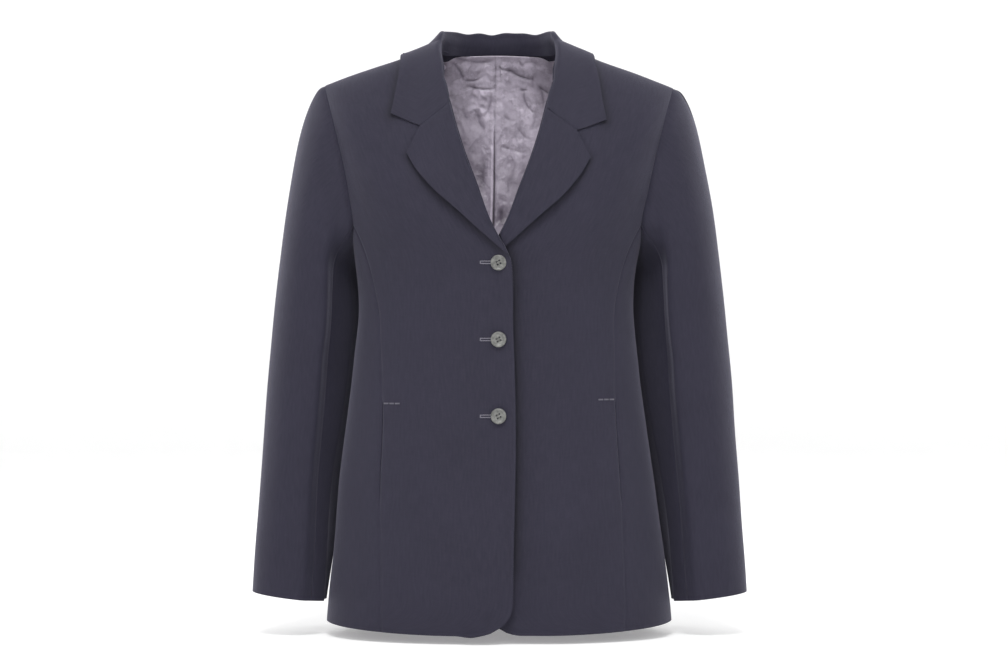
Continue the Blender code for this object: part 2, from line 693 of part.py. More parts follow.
def stand(name):
    """Collar stand: a band from the neck seam up to just under the fold, ending short of the gorge."""
    at, _, seam, fold, _ = neck_curves()
    kept = at <= STAND_END
    seam, fold = seam[kept], fold[kept]
    rise = fold - seam
    length = np.linalg.norm(rise, axis=-1, keepdims=True)
    foot = seam + rise / length * STAND_FOOT
    head = fold - rise / length * np.minimum(STAND_TOP_GAP, length * 0.3)
    outer = np.array([foot + (head - foot) * w for w in np.linspace(0, 1, 3)])
    out = grid_normals(outer, np.array([MID, 0, 10]))
    return wall(name, outer, outer - out * WALL, CLOTH)


# --- sleeves -------------------------------------------------------------------------------------

def body_side(y, z):
    """Distance from the body's centre to its side at this depth."""
    power = table(BODY, "power", z)
    depth = np.where(y < 0, table(BODY, "front", z), table(BODY, "back", z))
    share = np.clip(np.abs(y) / depth, 0, 0.999)
    return table(BODY, "half", z) * (1 - share**power) ** (1 / power)


def sleeve_ring(side, z, degrees):
    """One ring of the sleeve below the armhole, pressed flat where it meets the body."""
    angle = np.radians(degrees)
    centre = float(table(BODY, "centre", z))
    rows = SLEEVE[::-1]
    outer = float(table(rows, "outer", z)) + side * SLEEVE_MID
    inner = side * centre + float(table(BODY, "half", z)) + ARM_CLEARANCE - ARM_PRESS
    middle = (outer + inner) / 2
    x = middle + (outer - inner) / 2 * signed_power(np.cos(angle), SLEEVE_SQUARE)
    y = float(table(rows, "depth", z)) * signed_power(np.sin(angle), SLEEVE_SQUARE)
    y += float(table(rows, "middle", z))
    limit = side * centre + body_side(y, z) + ARM_CLEARANCE
    x = np.maximum(x, limit)
    slant = CUFF_SLANT * ease((CUFF_SLANT_FROM - z) / (CUFF_SLANT_FROM - SLEEVE[-1].z))
    height = z + slant * (x - middle) / ((outer - inner) / 2)
    return np.stack([side * x, y, height], -1)


def sleeve_start(side, degrees):
    """First ring, just off the armhole, and the way out of the armhole along the body's surface."""
    points, outs = [], []
    for angle in degrees:
        x, z, is_back = armhole(side, angle % 360)
        point = surface(np.array(x), np.array(z), is_back)
        points.append(point)
        outs.append(normals(point, is_back))
    points, outs = np.array(points), np.array(outs)
    away = np.cross(outs, np.roll(points, -1, 0) - np.roll(points, 1, 0))
    away /= np.linalg.norm(away, axis=-1, keepdims=True)
    away *= np.sign((away[:, 0] * side).mean())
    return points + away * 2 * SEAM_INSET, away


def sleeve_grid(side):
    """Whole sleeve: a Bezier from each armhole point to the first ring, then rings to the cuff."""
    degrees = np.arange(0, 360, ARMHOLE_STEP)
    angle = np.radians(degrees)
    start, away = sleeve_start(side, degrees)
    top_z = SLEEVE[0].z
    ring = sleeve_ring(side, top_z, degrees)
    reach = np.linalg.norm(ring - start, axis=-1, keepdims=True)
    lower = (1 - np.cos(angle)) / 2
    outward = np.full(len(angle), side * CAP_OUT)
    leave = np.stack([outward, CAP_SPREAD * np.sin(angle), -CAP_DOWN * lower], -1)
    fullness = -side * CAP_FULLNESS * np.cos(angle).clip(0)
    arrive = np.stack([fullness, 0 * angle, CAP_DROP - CAP_DROP_UNDERARM * lower], -1)
    first, second = start + leave * reach, ring + arrive * reach
    grid = []
    for t in np.linspace(0, 1, CAP_ROWS + 1)[:-1]:
        grid.append(
            (1 - t) ** 3 * start + 3 * t * (1 - t) ** 2 * first + 3 * t * t * (1 - t) * second + t**3 * ring
        )
    for z in np.linspace(top_z, SLEEVE[-1].z, ARM_ROWS + 1):
        grid.append(sleeve_ring(side, z, degrees))
    grid = np.array(grid)
    around = np.roll(grid, -1, 1) - np.roll(grid, 1, 1)
    raw = np.cross(around, np.gradient(grid, axis=0))
    raw /= np.linalg.norm(raw, axis=-1, keepdims=True)
    centre = grid.mean(axis=1, keepdims=True)
    raw *= np.sign(((grid - centre) * raw).sum(-1).mean())
    tilt = np.maximum((raw[0] * away).sum(-1, keepdims=True), 0)
    raw[0] -= away * tilt
    raw[0] /= np.linalg.norm(raw[0], axis=-1, keepdims=True)
    return grid, raw


def sleeve(side, word):
    grid, out = sleeve_grid(side)
    count = 360 // ARMHOLE_STEP
    front_seam = FRONT_SLEEVE_SEAM // ARMHOLE_STEP
    back_seam = BACK_SLEEVE_SEAM // ARMHOLE_STEP
    top = [i % count for i in range(front_seam, back_seam + count + 1)]
    under = list(range(back_seam, front_seam + 1))
    for name, columns in ((f"top_sleeve_{word}", top), (f"under_sleeve_{word}", under)):
        wall(name, grid[:, columns], (grid - out * WALL)[:, columns], CLOTH)


# --- lining, pockets and buttons -----------------------------------------------------------------

def lining(name, side):
    """Back lining of one half, from the neck seam to a little above the hem."""
    u = np.linspace(0, 1, LINING_COLUMNS + 1)[None, :]
    turn = math.radians(LINING_SIDE) * u
    rise = np.sin(np.linspace(0, math.pi / 2, LINING_ROWS + 1))[:, None]
    top = np.zeros_like(u)
    for _ in range(12):
        top = neckline(x_at(side * turn, top))
    z = LINING_HEM + (top - LINING_HEM) * rise
    x = x_at(side * turn, z)
    return body_wall(name, x, z, True, -(WALL + LINING_DEPTH), LINING_WALL, LINING)


def pocket(name, side):
    """Strip of the pocket's own cloth behind the opening in the side seam."""
    seam = "left" if side > 0 else "right"
    z = np.linspace(POCKET_FOOT, POCKET_TOP, POCKET_ROWS + 1)[:, None] + np.zeros((1, 3))
    share = table(SIDE_SEAM, seam, z) + POCKET_REACH * np.array([-1, 0, 1])[None, :]
    x = table(BODY, "centre", z) + side * share * table(BODY, "half", z)
    return body_wall(name, x, z, False, -(WALL + POCKET_DEPTH), LINING_WALL)


def button(name, z):
    """Four-hole button with a raised rim, turned round its axis, on a short thread shank."""
    mesh = bmesh.new()
    rings = []
    for radius, height in BUTTON_PROFILE:
        if radius == 0:
            rings.append([mesh.verts.new((0, 0, height * MM))])
            continue
        turns = [2 * math.pi * i / BUTTON_SIDES for i in range(BUTTON_SIDES)]
        circle = [(radius * math.cos(turn), radius * math.sin(turn), height) for turn in turns]
        rings.append([mesh.verts.new(Vector(point) * MM) for point in circle])
    for low, high in zip(rings, rings[1:]):
        for i in range(BUTTON_SIDES):
            j = (i + 1) % BUTTON_SIDES
            corners = [low[i % len(low)], low[j % len(low)], high[j % len(high)], high[i % len(high)]]
            mesh.faces.new(list(dict.fromkeys(corners)))
    bmesh.ops.recalc_face_normals(mesh, faces=mesh.faces)
    made = add_object(name, mesh, HORN, 0.35)
    made.matrix_world = button_place(z)
    for number, (sx, sy) in enumerate(((1, 1), (1, -1), (-1, -1), (-1, 1))):
        cut_hole(made, f"{name}_hole_{number + 1}", sx * HOLE_OFFSET, sy * HOLE_OFFSET)
    return made


def button_place(z):
    point = surface(np.array(MID), np.array(z))
    out = normals(point, False)
    seat = (point + out * (BUTTON_STAND + BUTTON_CLEARANCE)) * MM
    turn = Vector((0, 0, 1)).rotation_difference(Vector(out))
    return Matrix.Translation(Vector(seat)) @ turn.to_matrix().to_4x4()


def cut_hole(owner, name, x, y):
    mesh = bmesh.new()
    bmesh.ops.create_cone(
        mesh, cap_ends=True, segments=HOLE_SIDES, radius1=HOLE_RADIUS * MM, radius2=HOLE_RADIUS * MM,
        depth=4 * BUTTON_FACE * MM, matrix=Matrix.Translation((x * MM, y * MM, BUTTON_FACE * MM)),
    )
    data = bpy.data.meshes.new(name)
    mesh.to_mesh(data)
    mesh.free()
    cutter = bpy.data.objects.new(name, data)
    bpy.context.scene.collection.objects.link(cutter)
    cutter.matrix_world = owner.matrix_world
    cutter.hide_render = True
    cutter.display_type = "WIRE"
    cut = owner.modifiers.new(name, "BOOLEAN")
    cut.operation = "DIFFERENCE"
    cut.solver = "EXACT"
    cut.object = cutter


def main():
    for thing in list(bpy.data.objects):
        bpy.data.objects.remove(thing)
    for word, side in (("right", -1), ("left", 1)):
        front(f"front_{word}", side)
        side_panel(f"side_{word}", side)
        back(f"back_{word}", side)
        lapel(f"lapel_{word}", side)
        sleeve(side, word)
        lining(f"lining_{word}", side)
        pocket(f"pocket_{word}", side)
    collar("collar")
    stand("collar_stand")
    for number, z in enumerate(BUTTON_Z):
        button(f"button_{number + 1}", z)


main()
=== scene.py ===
"""Looks of a suit jacket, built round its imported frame.

Blender 4.5, +Z up. The front faces -Y and +X is the wearer's left. The tables and functions of the
form are in millimetres and become metres where a mesh is made. Every cloth piece is a grid of
points laid on the form, with soft creases, edges sunk into their seams, and a live wall thickness.
"""

import math
from collections import namedtuple

import bmesh
import bpy
import numpy as np
from mathutils import Matrix, Vector


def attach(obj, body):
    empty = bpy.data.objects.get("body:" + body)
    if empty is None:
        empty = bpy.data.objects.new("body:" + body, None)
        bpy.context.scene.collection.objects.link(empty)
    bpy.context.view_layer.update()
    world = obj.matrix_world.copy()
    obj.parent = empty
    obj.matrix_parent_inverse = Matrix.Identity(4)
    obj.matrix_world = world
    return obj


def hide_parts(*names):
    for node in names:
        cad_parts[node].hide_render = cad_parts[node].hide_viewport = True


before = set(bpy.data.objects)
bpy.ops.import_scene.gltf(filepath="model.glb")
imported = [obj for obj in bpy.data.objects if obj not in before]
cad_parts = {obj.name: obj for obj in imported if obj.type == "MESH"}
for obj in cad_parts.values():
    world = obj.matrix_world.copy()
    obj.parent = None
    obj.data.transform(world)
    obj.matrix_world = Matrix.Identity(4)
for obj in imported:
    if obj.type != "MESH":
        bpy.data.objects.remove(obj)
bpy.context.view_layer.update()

MM = 0.001
WORDS = {-1: "right", 1: "left"}          # the wearer's side by the sign of x
MID = -2.2                # x of the line through the buttons

WALL = 1.6                # body and sleeve cloth with its lining
DOUBLE_WALL = 2.0         # two layers of cloth: lapels and collar
LAPEL_WALL = 1.5
COLLAR_WALL = 1.7
STAND_WALL = 0.7
POCKET_WALL = 0.9
LINING_WALL = 0.6
WALL_GAP = 0.3            # clear space between two layers
EDGE_ROUND = 0.5          # bevel of a cut edge
FOLD_ROUND = 0.6          # and of the thicker edges of lapels and collar
ROUNDED_ABOVE = 50        # degrees of the corners that are bevelled
TURN_IN = 32.0            # width of the cloth turned in along a panel's inner edges
SEAM_LAP = 0.35           # sewn edges run on this far past their seam, so that no light shows through
FOLD_LAP = 0.2            # the same for lapels and collar
SEAM_SINK = 0.75          # how far a sewn edge sinks
SEAM_WIDTH = 1.7          # and over what width

# Steps of the grids: a length in mm and the number of even steps along it.
CLOSE_STEPS = (0.7, 1.7, 3.2, 5.4)        # mm from the edges, where the grids are closer
EVEN_FROM = 1.6           # the even steps begin at this many times the last close one
SIDE_SEAM_STEPS = (465, 62)
ARMHOLE_STEPS = (190, 44)
FRONT_STEPS = (165, 44)
SIDE_STEPS = (130, 40)
BACK_STEPS = (150, 40)
LAPEL_STEPS = (170, 56)   # up the lapel
LAPEL_INNER_STEPS = (50, 20)              # across it, from the roll to the notch
LAPEL_OUTER_STEPS = (34, 14)              # and from the notch to the outer edge
FALL_STEPS = (66, 26)
CAP_STEPS = (150, 52)
ARM_STEPS = (380, 84)
ROUNDS = 12               # rounds after which a panel's rows have settled

# --- sizes of the form ---------------------------------------------------------------------------

# The body's horizontal sections: centre, half width, depth in front of and behind the side line.
Body = namedtuple("Body", "z centre half front back power")
BODY = (
    Body(-700, -1.8, 205.5, 122, 134, 2.35),
    Body(-651, -1.8, 201.5, 121, 131, 2.35),
    Body(-580, -2.4, 193.8, 119, 126, 2.35),
    Body(-509, -4.6, 186.5, 116, 119, 2.35),
    Body(-438, -5.4, 176.6, 113, 110, 2.35),
    Body(-367, -5.8, 167.5, 110, 102, 2.35),
    Body(-302, -5.4, 162.0, 110, 100, 2.35),
    Body(-260, -5.4, 165.5, 115, 104, 2.35),
    Body(-225, -4.2, 171.5, 120, 109, 2.5),
    Body(-173, -2.8, 184.0, 121, 114, 2.8),
    Body(-110, -2.2, 197.0, 106, 115, 3.1),
    Body(-46, -1.6, 208.5, 87, 105, 3.2),
    Body(30, -1.4, 214.0, 78, 98, 3.2),
)

# The ridge where front and back meet: height over the distance from the centre.
Ridge = namedtuple("Ridge", "x z")
RIDGE = (
    Ridge(0, 34), Ridge(30, 28.5), Ridge(50, 17.5), Ridge(62, 9.5), Ridge(75, 5),
    Ridge(119, -12.5), Ridge(155, -25), Ridge(190, -38), Ridge(208, -45), Ridge(216, -48),
)
SHOULDER_TILT = 0.0105    # the wearer's left shoulder sits this much lower per mm outwards
SHOULDER_SLOPE = 0.37     # fall of the ridge per mm where the collar's edge crosses it
FRONT_ROUNDING = 130      # height over which the front rounds in to the ridge near the neck
BACK_ROUNDING = 90
TIP_ROUNDING = 62         # and at the shoulder tip
TIP_FROM = 105
TIP_TO = 200

# Seam between front and side panel: share of the half width, on each side of the wearer.
SideSeam = namedtuple("SideSeam", "z right left back")
SIDE_SEAM = (
    SideSeam(-690, 0.660, 0.712, 0.690),
    SideSeam(-605, 0.690, 0.738, 0.715),
    SideSeam(-548, 0.710, 0.755, 0.735),
    SideSeam(-415, 0.753, 0.803, 0.775),
    SideSeam(-367, 0.788, 0.826, 0.800),
    SideSeam(-302, 0.850, 0.862, 0.835),
    SideSeam(-260, 0.886, 0.893, 0.880),
    SideSeam(-225, 0.932, 0.934, 0.925),
    SideSeam(-207, 0.966, 0.966, 0.950),
)

# The armhole is cut round the shoulder: share of the half width at each height.
Armhole = namedtuple("Armhole", "z front back")
ARMHOLE = (
    Armhole(-236, 1.000, 1.000), Armhole(-232, 0.9985, 0.998), Armhole(-222, 0.990, 0.982),
    Armhole(-207, 0.966, 0.950), Armhole(-173, 0.955, 0.932), Armhole(-142, 0.953, 0.928),
    Armhole(-110, 0.957, 0.934), Armhole(-78, 0.970, 0.955), Armhole(-55, 0.985, 0.980),
    Armhole(-45, 0.992, 0.992),
)
ARMHOLE_TOP = -45.4
ARMHOLE_FOOT = -236
ARMHOLE_TIP = 15          # degrees to each side of the shoulder tip where it bends up to the ridge
SIDE_SEAM_TURN = 135      # degrees from the shoulder tip to where a side panel's seam meets the armhole

HEM_CORNER_TOP = -645
HEM_CORNER_WIDTH = 45
HEM_CORNER_HEIGHT = 35
HEM_SIDE = -673.3
HEM_FRONT_DROP = 6.0
HEM_LEVEL_AT = 200
HEM_SHARE = 0.2           # share of the side seam over which the hem's curve fades out upwards
CORNER_SHARE = 0.075      # share of the side seam whose rows end on the round corner

# Front edge and roll line: distance from MID to the wearer's own side, negative past the middle.
Edge = namedtuple("Edge", "z edge")
FRONT_EDGE = (
    Edge(HEM_CORNER_TOP, -16.2), Edge(-601, -16.6), Edge(-570, -17.2), Edge(-450, -19.2),
    Edge(-394, -18.4), Edge(-324, -16.2), Edge(-268, -15.4), Edge(-254, -14.2), Edge(-239, -8.6),
    Edge(-223, 1.0), Edge(-206, 9.5), Edge(-169, 23.3), Edge(-135, 36.3), Edge(-101, 47.5),
    Edge(-71, 55.5), Edge(-42, 64.5), Edge(-13, 71.0), Edge(6, 73.5),
)
UNDERLAP = 6.4            # how far the left front lies inside the right one
UNDERLAP_FROM = 20
UNDERLAP_TO = 74
EDGE_LIFT = {"right": 4.8, "left": 0.0}   # the upper front's edge stands off the lower one
EDGE_LIFT_WIDTH = 11
EDGE_LIFT_FROM = -100
EDGE_LIFT_FULL = -190

# Shade painted on the cloth beside an edge that stands off it: how dark, and over what width.
Shade = namedtuple("Shade", "dark width")
LAPEL_SHADE = Shade(0.55, 5.0)
COLLAR_SHADE = Shade(0.60, 6.5)
EDGE_SHADE = Shade(0.60, 8.5)
EDGE_SHADE_TOP = (-118, -158)             # heights over which the shade beside the front edge fades in
EDGE_SHADE_FOOT = (-640, -580)

# Lapel: outer edge from the break up to the point, then the notch and the gorge end on the roll.
Outline = namedtuple("Outline", "x z")
LAPEL_EDGE = (
    Outline(-9.5, -244), Outline(-0.6, -236.5), Outline(21.5, -217.2), Outline(49.4, -192),
    Outline(72.3, -172.4), Outline(91.8, -150.4), Outline(104.0, -130.5),
)
NOTCH = Outline(88.8, -98.5)
NOTCH_SHARE = 0.6         # place of the notch along the lapel's top
GORGE_END = -71.5
LAPEL_BREAK = -243
LEFT_LAPEL_DROP = 5.0
LEFT_BREAK_DROP = 8.0
LEFT_LAPEL_FOOT = -222
LEFT_LAPEL_START = 0.235
LAPEL_REST = 0.7
LAPEL_BELLY = 1.2
LAPEL_BELLY_FULL = 40     # width from which a lapel has its whole belly
LAPEL_LIFT = 4.4          # its outer edge stands this much further off the front
LAPEL_LIFT_FULL = 30      # width from which it has its whole lift
LAPEL_LIFT_ENDS = 0.6     # share of the lift at the break and the top
LAPEL_LIFT_MORE = 0.8     # and how much more there is halfway
LAPEL_LIFT_FROM = 0.3     # share of the width where the lift begins
LAPEL_TUCK = (9.0, 5.0)   # how far its inner rows lie under the front
TOP_BEND = 4              # power with which its rows bend to the gorge and notch
ROLL_LIFT = 2.6
ROLL_SPREAD = 12
ROLL_RADIUS = 3.2         # of the fold at the roll line
ROLL_MOST = 0.3           # and at most this share of the lapel's width
ROLL_ROWS = 9
GORGE_LENGTH = 150        # length beside which the gorge seam is measured

# Collar, from the centre back round to the gorge end: neck seam, fold line and outer edge.
Collar = namedtuple("Collar", "seam_x seam_z fold_x fold_y fold_z edge_x edge_z")
COLLAR = (
    Collar(0, 0.0, 0, 75, 26.6, 0, -21),
    Collar(30, 0.3, 28, 68.5, 26.4, 40, -20.5),
    Collar(54, 0.9, 51, 50, 26.0, 74, -19),
    Collar(69, 2.0, 63.5, 25, 25.2, 98, -15.5),
    Collar(75, 4.2, 66.5, 2, 22.0, 112, -9.0),
    Collar(75, -2.0, 69, -17, 9, 114, -25.5),
    Collar(71.5, -22, 68, -45, -13, 116, -44),
    Collar(66, -46, 63, -67, -40, 119, -63),
    Collar(57.5, -73, 54.7, -87, -71.5, 123.0, -85.5),
)
COLLAR_RIDGE_ROW = 4      # the row on the ridge. A station is a place among these rows
RIDGE_REACH = 2           # stations to each side of it that count as near
LEFT_COLLAR_IN = 4.0      # near the ridge the left fold and edge lie this much further in
NECK_STATIONS = 96
LAST_STATIONS = (0.05, 0.025, 0.01, 0)    # closer stations before the gorge

# The fall, from the fold line down to the outer edge.
COLLAR_SAG = 7.0          # how far its middle sags near the ridge
COLLAR_BACK_LIFT = 0.5    # how much further off the body it is behind
COLLAR_RIDGE_LIFT = 1.4   # and near the ridge
FALL_OUT = 1.9            # powers of its way out and down at the back
FALL_DOWN = 1.4
FALL_EASED_FROM = 0.5     # stations between which these powers fade to 1
FALL_EASED = 3.5
LAID_FROM = 5             # station from which it lies on the front
LAID_WITHIN = 2
GORGE_STATIONS = 1.6      # stations before the gorge over which its rows bend to the notch
FREE_ROWS = 0.45          # share of its rows that stand free past the notch
FALL_TOP = 0.075          # share of it where the fold's arc begins
FALL_RIPPLE_FROM = 12     # distance from the outer edge at which it is fully uneven
EDGE_SETTLE = -2.4        # below zero the outer edge stands off
EDGE_SETTLE_WIDTH = 14.0
EDGE_SETTLE_LESS = 0.9    # share by which this is less near the ridge
CLEARING_STEP = 4         # most that a point moves off the body in one round
CLEARING_ROUNDS = 6

# The fold: its waves, then its arc, and the part that turns in under the front by the gorge.
FOLD_WAVE = 1.6           # height of the waves
FOLD_WAVE_END = 3         # station from which they fade out
LONG_WAVE = 8.5           # mm to a radian
SHORT_WAVE = 4.3
SHORT_WAVE_SHARE = 0.45
SWELL = 33                # mm to a radian of the swell that the long waves follow
SWELL_START = 0.7
ARC_ROWS = 12
ARC_REACH = 0.62          # reach of the arc's control points, as a share of its span
TUCK_FROM = 6.3           # station from which it turns in
TUCK_WITHIN = 1.4
TUCK_MIDDLE = 8.0         # how far its rows lie under the front
TUCK_END = 10.0

# The stand, from the neck seam up to the fold.
STAND_SHARE = 0.970       # its foot is the neck seam drawn in by this
STAND_FACE = 1.8          # distance of its inner face from its middle
STAND_HIGH = 0.86         # shares of its height between which the inner face is a plain band
STAND_LOW = 0.26
BAND_ROWS = 9
BAND_BELLY = 1.2
NECK_HALF = 62            # half width of the neck opening at the back
BACK_STATIONS = 4         # stations that lie behind the ridge
FOOT_DROP = 0.12          # the inner face's foot lies this share of the height too low
FOOT_RISE = 0.22          # and at the centre back this much higher
FOOT_IN = 2.0             # it stands this far in
FOOT_OUT = 1.3            # and at the centre back this much less
FOOT_LOWER = 1
STAND_END = 7.0           # last station of the outer layer
STAND_ROWS = (0.08, 0.7, 8)               # shares of the height from and to which it reaches, and its rows
STAND_OUT = 1.0
COLLAR_CENTRE = np.array([MID, 0, -60])   # points inside the neck, to tell out from in
STAND_CENTRE = np.array([MID, 0, 10])

# Sleeve sections from the cuff up the arm: outer silhouette, middle and half depth front to back.
Sleeve = namedtuple("Sleeve", "z outer middle depth")
SLEEVE = (
    Sleeve(-644, 291.0, -16, 40),
    Sleeve(-568, 286.8, -3, 45),
    Sleeve(-493, 282.0, 9, 50.5),
    Sleeve(-417, 277.4, 17, 55.5),
    Sleeve(-341, 271.2, 18, 60),
    Sleeve(-265, 262.8, 14, 64),
)
SLEEVE_MID = -1.0         # x of the middle between both sleeves
SLEEVE_SQUARE = 0.92      # power of the section's sine and cosine: below 1 is squarer
SLEEVE_DEGREE = 1.1       # mm to a degree round the sleeve
CUFF_SLANT = 6.0          # the cuff is this much higher outside than in its middle
CUFF_SLANT_FROM = -400
ARM_AXIS = (215.0, 5.0)   # a line inside the arm, to tell out from in
ARM_CLEARANCE = 1.3       # the sleeve stays this far off the body
ARM_PRESS = 4.0           # and is flattened against it by this much
FRONT_SLEEVE_SEAM = 225   # degrees round the sleeve: 0 outer, 90 back, 180 inner, 270 front
BACK_SLEEVE_SEAM = 105
TOP_COLUMNS = 92
UNDER_COLUMNS = 40

# The cap is a Bezier from the armhole to the first ring. Its directions are shares of its span.
CAP_OUT = 0.107
CAP_SPREAD = 0.07
CAP_DOWN = 0.24
CAP_FULLNESS = 0.065      # out at the ring's outer side
CAP_DROP = 0.567
CAP_DROP_UNDERARM = 0.2   # and how much less this is under the arm
CAP_STEP = 1.5            # degrees between the points that give the armhole's direction
HEAD_UNDER = 2.6          # the sleeve starts this far under the edge of the armhole
HEAD_SINK = 1.9           # and this far down in its seam
HEAD_PUFF = 0.7           # and stands this proud just beyond it
HEAD_PUFF_AT = 9
HEAD_PUFF_WIDTH = 8

# How much rounder than the rest the inner front of a sleeve is, beside the body's waist most.
# By ARM_GAP times as many mm it also stands off the body in front of ARM_CONTACT.
ArmRound = namedtuple("ArmRound", "z right left")
ARM_ROUNDS = (
    ArmRound(-660, 0.25, 0.25), ArmRound(-540, 0.42, 0.45), ArmRound(-430, 0.56, 0.64),
    ArmRound(-350, 0.66, 0.80), ArmRound(-290, 0.66, 0.78), ArmRound(-235, 0.40, 0.48),
    ArmRound(-185, 0.08, 0.10), ArmRound(-150, 0, 0),
)
ARM_GAP = 19.0
ARM_GAP_FULL = -18        # depth from which the gap has its whole width
ARM_CONTACT = 16.0
ARM_GAP_START = 140       # degrees round the sleeve where the gap begins
ARM_GAP_FADE = (215, 255)
# Painted shade on the inner front of a sleeve, in the gap beside the body.
ARM_SHADE = 0.55          # how dark the cloth is in the gap
ARM_SHADE_FULL = 0.66     # rounding from which it is as dark as this
ARM_SHADE_IN = (140, 160)                 # degrees over which the shade fades in and out
ARM_SHADE_OUT = (190, 235)
ARM_STILL = 0.9           # share by which the creases are less beside the body
ARM_STILL_WIDTH = 75
ARM_STILL_FADE = (-200, -260)
LEFT_CREASE_SHIFT = 0.985                 # the left arm's creases are lower by this factor of their height

# Lining: its grid, its place, its pleat and centre seam, its crumples, and the shade and light painted on
# it.
LINING_HEM = -652
LINING_SIDE = 62          # degrees from the centre back
LINING_SEAM = -5.4        # its centre seam has slid this far to the wearer's right
LINING_STEPS = np.concatenate([[0, 0.4], np.linspace(1.1, 66, 64)])  # columns beside the seam
LINING_FAR = 27           # and the number of columns beyond them
LINING_SHOWN = 0.38       # share of its length that the neck shows
SHOWN_ROWS = 225
HIDDEN_ROWS = 45
LINING_RISE = 4.0         # its top laps over the foot of the collar stand by this much at the middle
LAP_FORWARD = 1.4         # and stands this much nearer to the neck there
LINING_TOP = 0.8          # otherwise its top lies this far below the neck seam
LINING_ASIDE = 4.5        # and this much lower at the ends of the stand
LINING_DIP = 5.0          # with a dip beside the neck
LINING_DIP_AT = 66
LINING_DIP_WIDTH = 10
LINING_UNDER = 1.9        # its depth under the outer form along its top
LINING_DEPTH = 2.2        # and its space behind the wall further down
LINING_NEARER = 0.9
LINING_FALL = 14          # height over which it falls back
LINING_FREE = (1.5, 7.5)  # distances below its top over which its folds grow
PLEAT = 2.4               # depth of the pleat to the wearer's right of the seam
PLEAT_AT = 2.4
PLEAT_WIDTH = 2.6
PLEAT_FADE = (-60, -120)
LINE_SINK = 2.0           # depth of the centre seam
LINE_WIDTH = 0.8
LINE_FADE = (-70, -140)
LINE_LEAST = 0.2
CRUMPLED = (-290, -190)   # heights over which the crumples grow to their whole depth
CRUMPLED_LEAST = 0.35
CRUMPLE_LEAST = 0.4       # where they are weak the crumples have this share of their height
CRUMPLE_MIDDLE = 0.55
CRUMPLE_STRETCH = np.array([1.0, 1.0, 0.75])  # they are longer up and down
CREASE_SHARP = 1.15       # the creases come nearly to an edge
# Painted shade in the lining's creases, and a painted highlight on the fold of its pleat.
CREASE_SHADE = 0.36       # how dark a crease is for each mm of its depth
PLEAT_SHINE = 0.9         # how light the fold of the pleat is
PLEAT_SHINE_AT = 2.8
PLEAT_SHINE_WIDTH = 1.5
# Painted shade low in the neck and in a patch, and painted light near the top of the lining.
LOW_SHADE = 0.36          # the cloth low in the neck is darker
LOW_SHADE_FADE = (-110, -200)
PATCH_AT = Outline(-34, -118)             # middle of a darker patch
PATCH_WIDTH = 24
PATCH_HEIGHT = 50
PATCH_SHADE = 0.26
PALE = 0.10               # and the cloth near the top is a little lighter
PALE_AT = -40
PALE_HEIGHT = 30

POCKET_TOP = -412
POCKET_FOOT = -548
POCKET_REACH = 0.085      # share of the half width that it reaches to each side of the seam
POCKET_DEPTH = 0.9        # its distance behind the wall
POCKET_ROOM = 0.4         # space behind the cloth for its folds
POCKET_FOLD = 0.3         # most that a fold may bring it forward
POCKET_GRID = (70, 15)
MOUTH_TOP = (POCKET_TOP - 1, POCKET_TOP - 7)  # heights over which the opening fades in
MOUTH_FOOT = (POCKET_FOOT + 8, POCKET_FOOT + 30)
MOUTH_FRONT = 0.45        # how far the front's edge draws back along the opening
MOUTH_SIDE = 0.35         # and the side panel's
FRONT_MOUTH_SINK = np.array([0.1, 0.3, 0.55])  # and how far its last columns sink
SIDE_MOUTH_SINK = np.array([0.9, 0.5, 0.2])
UNDERARM = (-330, -270)   # heights over which the side panel passes behind the sleeve
UNDERARM_STILL = 0.7      # share by which its creases are less there
UNDERARM_SINK = 0.35
UNDERARM_SEAM = 0.3       # how far its top edge sinks

BUTTON_Z = (-254.6, -342.6, -430.1)
BUTTON_STAND = 1.3        # length of the shank
BUTTON_CLEARANCE = 0.3    # and the shank's own distance from the cloth
BUTTON_TURN = 24          # degrees about its own middle
BUTTON_ROWS = 64
BUTTON_COLUMNS = 72
HOLE_PLACES = ((1.75, 1.75), (1.75, -1.75), (-1.75, -1.75), (-1.75, 1.75))
HOLE_RADIUS = 1.15
HOLE_DEPTH = 6            # of the drill, which is longer than the button is thick
HOLE_MIDDLE = 1.5
HORN_SPLIT = 40           # degrees of the corners that stay sharp

# Section of a button from its underside out over the rim to the sunk middle: radius and height.
BUTTON_SECTION = np.array([
    (0, 0), (4.0, 0), (7.4, 0.05), (8.3, 0.3), (8.85, 0.85), (9.0, 1.5), (8.9, 2.15), (8.6, 2.6),
    (8.1, 2.84), (7.5, 2.86), (6.9, 2.68), (6.4, 2.35), (5.9, 2.08), (5.2, 1.93), (4.2, 1.88),
    (2.5, 1.86), (0, 1.86),
])

# Threads: shanks and strands of the buttons, worked buttonholes, and tacks of the pockets.
THREAD_SIDES = 7
THREAD_ASIDE = np.array([0.31, 0.52, 0.79])  # a direction along which no thread runs
THREAD_END = 0.15         # least share of its section at a thread's ends
SHANK_RADIUS = 0.75
SHANK_THREADS = 6
SHANK_TOP = 0.1
STRANDS = (-0.28, 0.22)   # the two strands from hole to hole
STRAND_START = 1.62
STRAND_RISE = 0.62
STUB_HEIGHTS = (0.0, 0.5, 1.0)            # of the threads that end in the top button's holes
BUTTON_THREAD_RADIUS = 0.27
BUTTONHOLE_START = -22.2
BUTTONHOLE_END = -0.5
BUTTONHOLE_PITCH = 0.62
BUTTONHOLE_LIPS = (0.78, 1.90)            # the stitches reach from and to these distances from the slit
BUTTONHOLE_BARS = (0.9, 0.35)             # the end bars lie this far before the first stitch
BUTTONHOLE_BAR_HALF = 1.85
BUTTONHOLE_BAR_RISE = 0.15
BUTTONHOLE_HEIGHT = (0.12, 0.38)
BUTTONHOLE_THREAD_RADIUS = 0.30
BUTTONHOLE_SEED = 60
NEAR_UNEVEN = 0.1         # how uneven the stitches are at the slit, at their far end and along it
